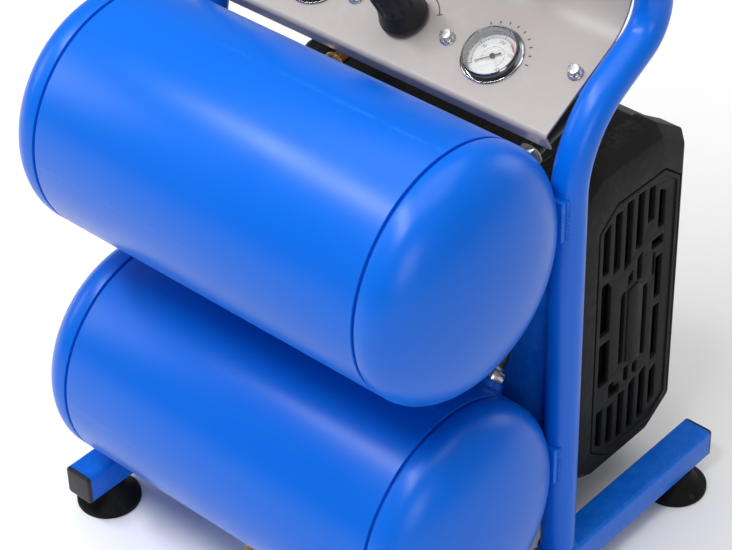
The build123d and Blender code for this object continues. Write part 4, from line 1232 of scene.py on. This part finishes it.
def hood_details(y1, z1):
    """Raised frame round the back vents, and two long ribs on the top."""
    outer = rounded_rect(156 * MM, 134 * MM, 8 * MM)
    inner = rounded_rect(148 * MM, 126 * MM, 5 * MM)
    place = basis((0, y1 - 0.2 * MM, HOOD_LOW + 143 * MM), (0, 1, 0))
    frame_ring = flat_shape("back_vent_frame", outer, [inner], 1.9 * MM, place, 0.5 * MM)
    piece(frame_ring, HOOD)
    ribs = []
    for x in (-96, 96):
        ribs.append(box_mesh("r", (x * MM - 2 * MM, HOOD_FRONT + 6 * MM, z1 - 0.4 * MM),
                             (x * MM + 2 * MM, y1 - 40 * MM, z1 + 1.2 * MM), 0.8 * MM))
    piece(joined("hood_top_ribs", ribs), HOOD)


COLUMNS = (-37, -24, -11, 2, 15, 28)
SLOT_HALF = 3.7


def slot(x0, x1, low, high, lean_low=0.0, lean_high=0.0):
    """Upright slot with slanted ends: a lean is the height gained across its width."""
    return [(x0, low), (x1, low + lean_low), (x1, high + lean_high), (x0, high)]


def column_slot(k, *ends):
    return slot(COLUMNS[k] - SLOT_HALF, COLUMNS[k] + SLOT_HALF, *ends)


def grille_slots():
    """Slots of the grille in mm, seen from outside: across, low to high, about the insert's middle."""
    first, last = COLUMNS[0], COLUMNS[-1]
    left, right = first - SLOT_HALF, first + SLOT_HALF
    return [
        column_slot(0, 60, 98, 0, 6), column_slot(1, 54, 107, 3, 0), column_slot(2, 50, 110, 4, 0),
        column_slot(3, 62, 110), column_slot(4, 78, 108), column_slot(5, 66, 101, 0, -5),
        slot(COLUMNS[4] + 3, last + SLOT_HALF, 50, 58),
        [(left, 4), (first + 7.5, 4), (first + 7.5, 44), (right, 51), (left, 51)],
        slot(left, first + 8.5, -44, -4),
        [(first + 10, -62), (COLUMNS[1] + 10, -62), (COLUMNS[1] + 10, -54), (first + 16, -54),
         (first + 16, -49), (first + 10, -49)],
        slot(-16.5, -11.5, -36, 28, 0, 3), slot(10.5, 15.5, -42, 22, -3, 0),
        slot(-9, -3.5, 33, 41, 3, 5), slot(1.5, 7, 32, 52, 0, 4),
        slot(-9, -3.5, -56, -44, -3, 0), slot(1.5, 7, -54, -46, -4, 0),
        column_slot(5, 2, 40), column_slot(5, -58, -6, 3, 0), slot(20, 23, 26, 46),
        column_slot(0, -100, -68, -5, 0), column_slot(1, -108, -70), column_slot(2, -110, -66),
        column_slot(3, -110, -64, 0, 3), column_slot(4, -108, -62, 0, 4), column_slot(5, -102, -68, 5, 4),
    ]


def about(outline, y, z):
    """Outline measured from the point (y, z)."""
    return [(a - y, b - z) for a, b in outline]


def cap_place(side):
    """Row Y to the local X, row Z to the local Y, outwards along the local Z."""
    return Matrix(((0, 0, side, 0), (1, 0, 0, 0), (0, 1, 0, 0), (0, 0, 0, 1)))


def end_cap(word, side):
    dy, dz = CHAMFER
    place = cap_place(side)
    outline = octagon(CAP_FRONT, HOOD_BACK, HOOD_LOW, HOOD_HIGH, dy, dz)
    shoulder = CAP_X - 8 * MM
    face_y0, face_y1 = HOOD_BACK - 106 * MM, HOOD_BACK - 9.5 * MM
    face_z0, face_z1 = HOOD_LOW + 13 * MM, HOOD_HIGH - 37 * MM
    insert = octagon(face_y0, face_y1, face_z0, face_z1, 20 * MM, 16 * MM)

    def ring(inwards, radius, height, shape=outline):
        shape = inset(shape, inwards * MM) if inwards else shape
        return round_corners(shape, radius * MM, 4), height

    rings = [ring(3, 5, HOOD_HALF), ring(0, 6, HOOD_HALF), ring(0, 6, shoulder - 0.8 * MM),
             ring(0.4, 6, shoulder), ring(7.4, 5, CAP_X - 0.6 * MM), ring(8.4, 5, CAP_X),
             ring(0, 4, CAP_X, insert), ring(1.2, 4, CAP_X - 1.6 * MM, insert),
             ring(1.2, 4, CAP_X - 5 * MM, insert)]
    shell = ring_loft("h", rings, place, smooth_deg=24)
    flange_outline = [(HOOD_FRONT, HOOD_LOW + 2 * MM), (CAP_FRONT + 40 * MM, HOOD_LOW + 2 * MM),
                      (CAP_FRONT + 40 * MM, HOOD_HIGH - 2 * MM), (HOOD_FRONT, HOOD_HIGH - 2 * MM)]
    flange = prism("h", flange_outline, 4 * MM, place @ lift(HOOD_HALF), 1.0 * MM)
    mid_y = (face_y0 + face_y1) / 2
    mid_z = (face_z0 + face_z1) / 2
    local = place @ Matrix.Translation((mid_y, mid_z, CAP_X - 4.6 * MM))
    holes = [round_corners(mm(*outline), 0.9 * MM, 2) for outline in grille_slots()]
    centred = round_corners(about(inset(insert, 1.3 * MM), mid_y, mid_z), 4 * MM, 3)
    grille = flat_shape("h", centred, holes, 3.6 * MM, local, 0.7 * MM)
    cap = joined(word + "_grille_cap", [shell, flange, grille])
    piece(cap, HOOD, nodes=["hood_" + word + "_cap"])
    # Dark sheet behind the grille so the slots read black: painted shade for the shaded inside of the hood.
    shade_sheet = prism(word + "_slot_shade_backing", inset(insert, 1.5 * MM), 5 * MM,
                 place @ lift(CAP_X - 14 * MM), 0.8 * MM)
    piece(shade_sheet, SHADE_BACKING)
    rib_frame(word, insert, local, mid_y, mid_z)


def rib_frame(word, insert, local, mid_y, mid_z):
    """Raised border inside the insert's edge, and the raised bar in its middle."""
    outer = round_corners(about(inset(insert, 1.6 * MM), mid_y, mid_z), 4 * MM, 3)
    inner = round_corners(about(inset(insert, 5.0 * MM), mid_y, mid_z), 3 * MM, 3)
    up = local @ lift(3.0 * MM)
    border = flat_shape("f", outer, [inner], 1.8 * MM, up, 0.5 * MM)
    bar = mm((-8.5, -38), (-2, -43), (7.5, -41), (8.5, -38), (8.5, 26), (2, 31), (-7.5, 29), (-8.5, 26))
    mid = prism("f", bar, 1.8 * MM, up, 0.6 * MM)
    piece(joined(word + "_grille_border", [border, mid]), HOOD)


def hood_screws():
    made = []
    low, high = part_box("hood_screws")
    for side in SIDES:
        for z in (low.z + 4.5 * MM, high.z - 4.5 * MM):
            place = basis((side * (HOOD_HALF + 4 * MM), (low.y + high.y) / 2, z), (side, 0, 0), (0, 1, 0))
            head = turned("s", mm((0, 0), (0, 4.4), (1.6, 4.1), (2.6, 2.4), (2.6, 0)), place, 0.5 * MM, 48)
            slots = [box_local("s", place, (5.4, 1.0, 1.4), 2.3), box_local("s", place, (1.0, 5.4, 1.4), 2.3)]
            made.append(cut(head, slots))
    piece(joined("cap_screws", made), ZINC, nodes=["hood_screws"])


def box_local(name, place, size, h):
    sx, sy, sz = (s * MM / 2 for s in size)
    outline = [(-sx, -sy), (sx, -sy), (sx, sy), (-sx, sy)]
    return prism(name, outline, 2 * sz, place @ lift(h * MM - sz), 0)


# ---- pump, motor and plate keep their CAD shapes ----
KEPT = ((BLUE, ("mount_plate",)), (ZINC, ("foot_bolts",)), (STEEL, ("crankshaft", "shaft_bearings")),
        (ALLOY, ("crankcase", "cylinder", "cylinder_head", "piston", "connecting_rod", "motor_end_bells")),
        (LAMINATE, ("motor_rotor", "motor_stator")), (BLACK, ("cooling_fan",)), (RUBBER, ("pump_isolators",)))


def inner_parts():
    for material, kept in KEPT:
        for node in kept:
            keep(node, material)
    windings()


def windings():
    """Lacquered copper end turns on both ends of the stator."""
    low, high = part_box("motor_stator")
    z = middle("crankshaft").z
    for word, x, side in (("left", low.x + 10 * MM, -1), ("right", high.x - 10 * MM, 1)):
        corners = mm((-1, 31), (-1, 46.4), (9.9, 45.4), (9.9, 32), (-1, 30.8))
        coil = lathe(word + "_winding", rounded_profile(corners, 2.5 * MM, 4),
                     along_x(MOTOR_Y, z, x, side), 96, lambda a, h: 1.0 + 0.008 * sin(40 * a))
        piece(coil, WINDING)


# ---- set: floor, light, camera ----
def floor():
    size = 6.0
    verts = [(-size, -size, 0), (size, -size, 0), (size, size, 0), (-size, size, 0)]
    ground = mesh_object("floor", verts, [[0, 1, 2, 3]])
    ground.data.materials.append(surface("pale_floor", (0.96, 0.96, 0.96), 0.75, mottle=(3, 0.006),
                                         grain=(300, 0.02, 0.1), specular=0.2))


def area_light(name, place, target, size, power):
    data = bpy.data.lights.new(name, "AREA")
    data.shape = "RECTANGLE"
    data.size, data.size_y = size
    data.energy = power
    obj = link(bpy.data.objects.new(name, data))
    obj.location = place
    obj.rotation_euler = (Vector(target) - Vector(place)).to_track_quat("-Z", "Y").to_euler()


def lights():
    aim = (0, 0, 0.28)
    for name, place, size, power in (("key", (-0.35, -1.0, 2.1), (2.2, 0.25), 40),
                                     ("top", (0.2, 0.3, 3.0), (3.0, 2.6), 47),
                                     ("right", (2.2, -1.3, 1.1), (0.9, 0.9), 11),
                                     ("left", (-2.2, -1.1, 1.2), (0.9, 0.9), 9),
                                     ("back", (0.9, 2.6, 0.9), (0.9, 1.2), 8)):
        area_light(name + "_softbox", place, aim, size, power)
    world = bpy.data.worlds.new("studio")
    bpy.context.scene.world = world
    world.use_nodes = True
    back = world.node_tree.nodes["Background"]
    back.inputs["Color"].default_value = (1, 1, 1, 1)
    back.inputs["Strength"].default_value = 0.2


def camera():
    """Looks down on the tank's right end, slightly rolled; distances are in tank radii."""
    azimuth, elevation, roll = radians(42.8), radians(37.9), radians(-1.75)
    distance, to_right, to_below = 17.73, 0.6045, 0.6854
    back = Vector((sin(azimuth) * cos(elevation), -cos(azimuth) * cos(elevation), sin(elevation)))
    right = Vector((cos(azimuth), sin(azimuth), 0))
    up = back.cross(right)
    place = UPPER + (back * distance + right * to_right - up * to_below) * TANK_R
    side = right * cos(roll) + up * sin(roll)
    top = up * cos(roll) - right * sin(roll)
    data = bpy.data.cameras.new("view")
    data.sensor_width = 36
    data.lens = 118.34
    obj = link(bpy.data.objects.new("view", data))
    turn = Matrix((side, top, back)).transposed().to_4x4()
    turn.translation = place
    obj.matrix_world = turn
    bpy.context.scene.camera = obj


# ---- make everything ----
camera()
lights()
floor()
tanks()
tube_frame()
grip()
rails()
panel()
bolts()
gauge("tank", -1)
gauge("outlet", 1)
lenses()
panel_print()
regulator()
coupler("left")
coupler("right")
switch()
manifold()
safety_valve()
bungs()
pipes()
check_valve()
drain()
hood_cover()
end_cap("left", -1)
end_cap("right", 1)
hood_screws()
inner_parts()
bpy.context.scene.view_settings.view_transform = "Standard"
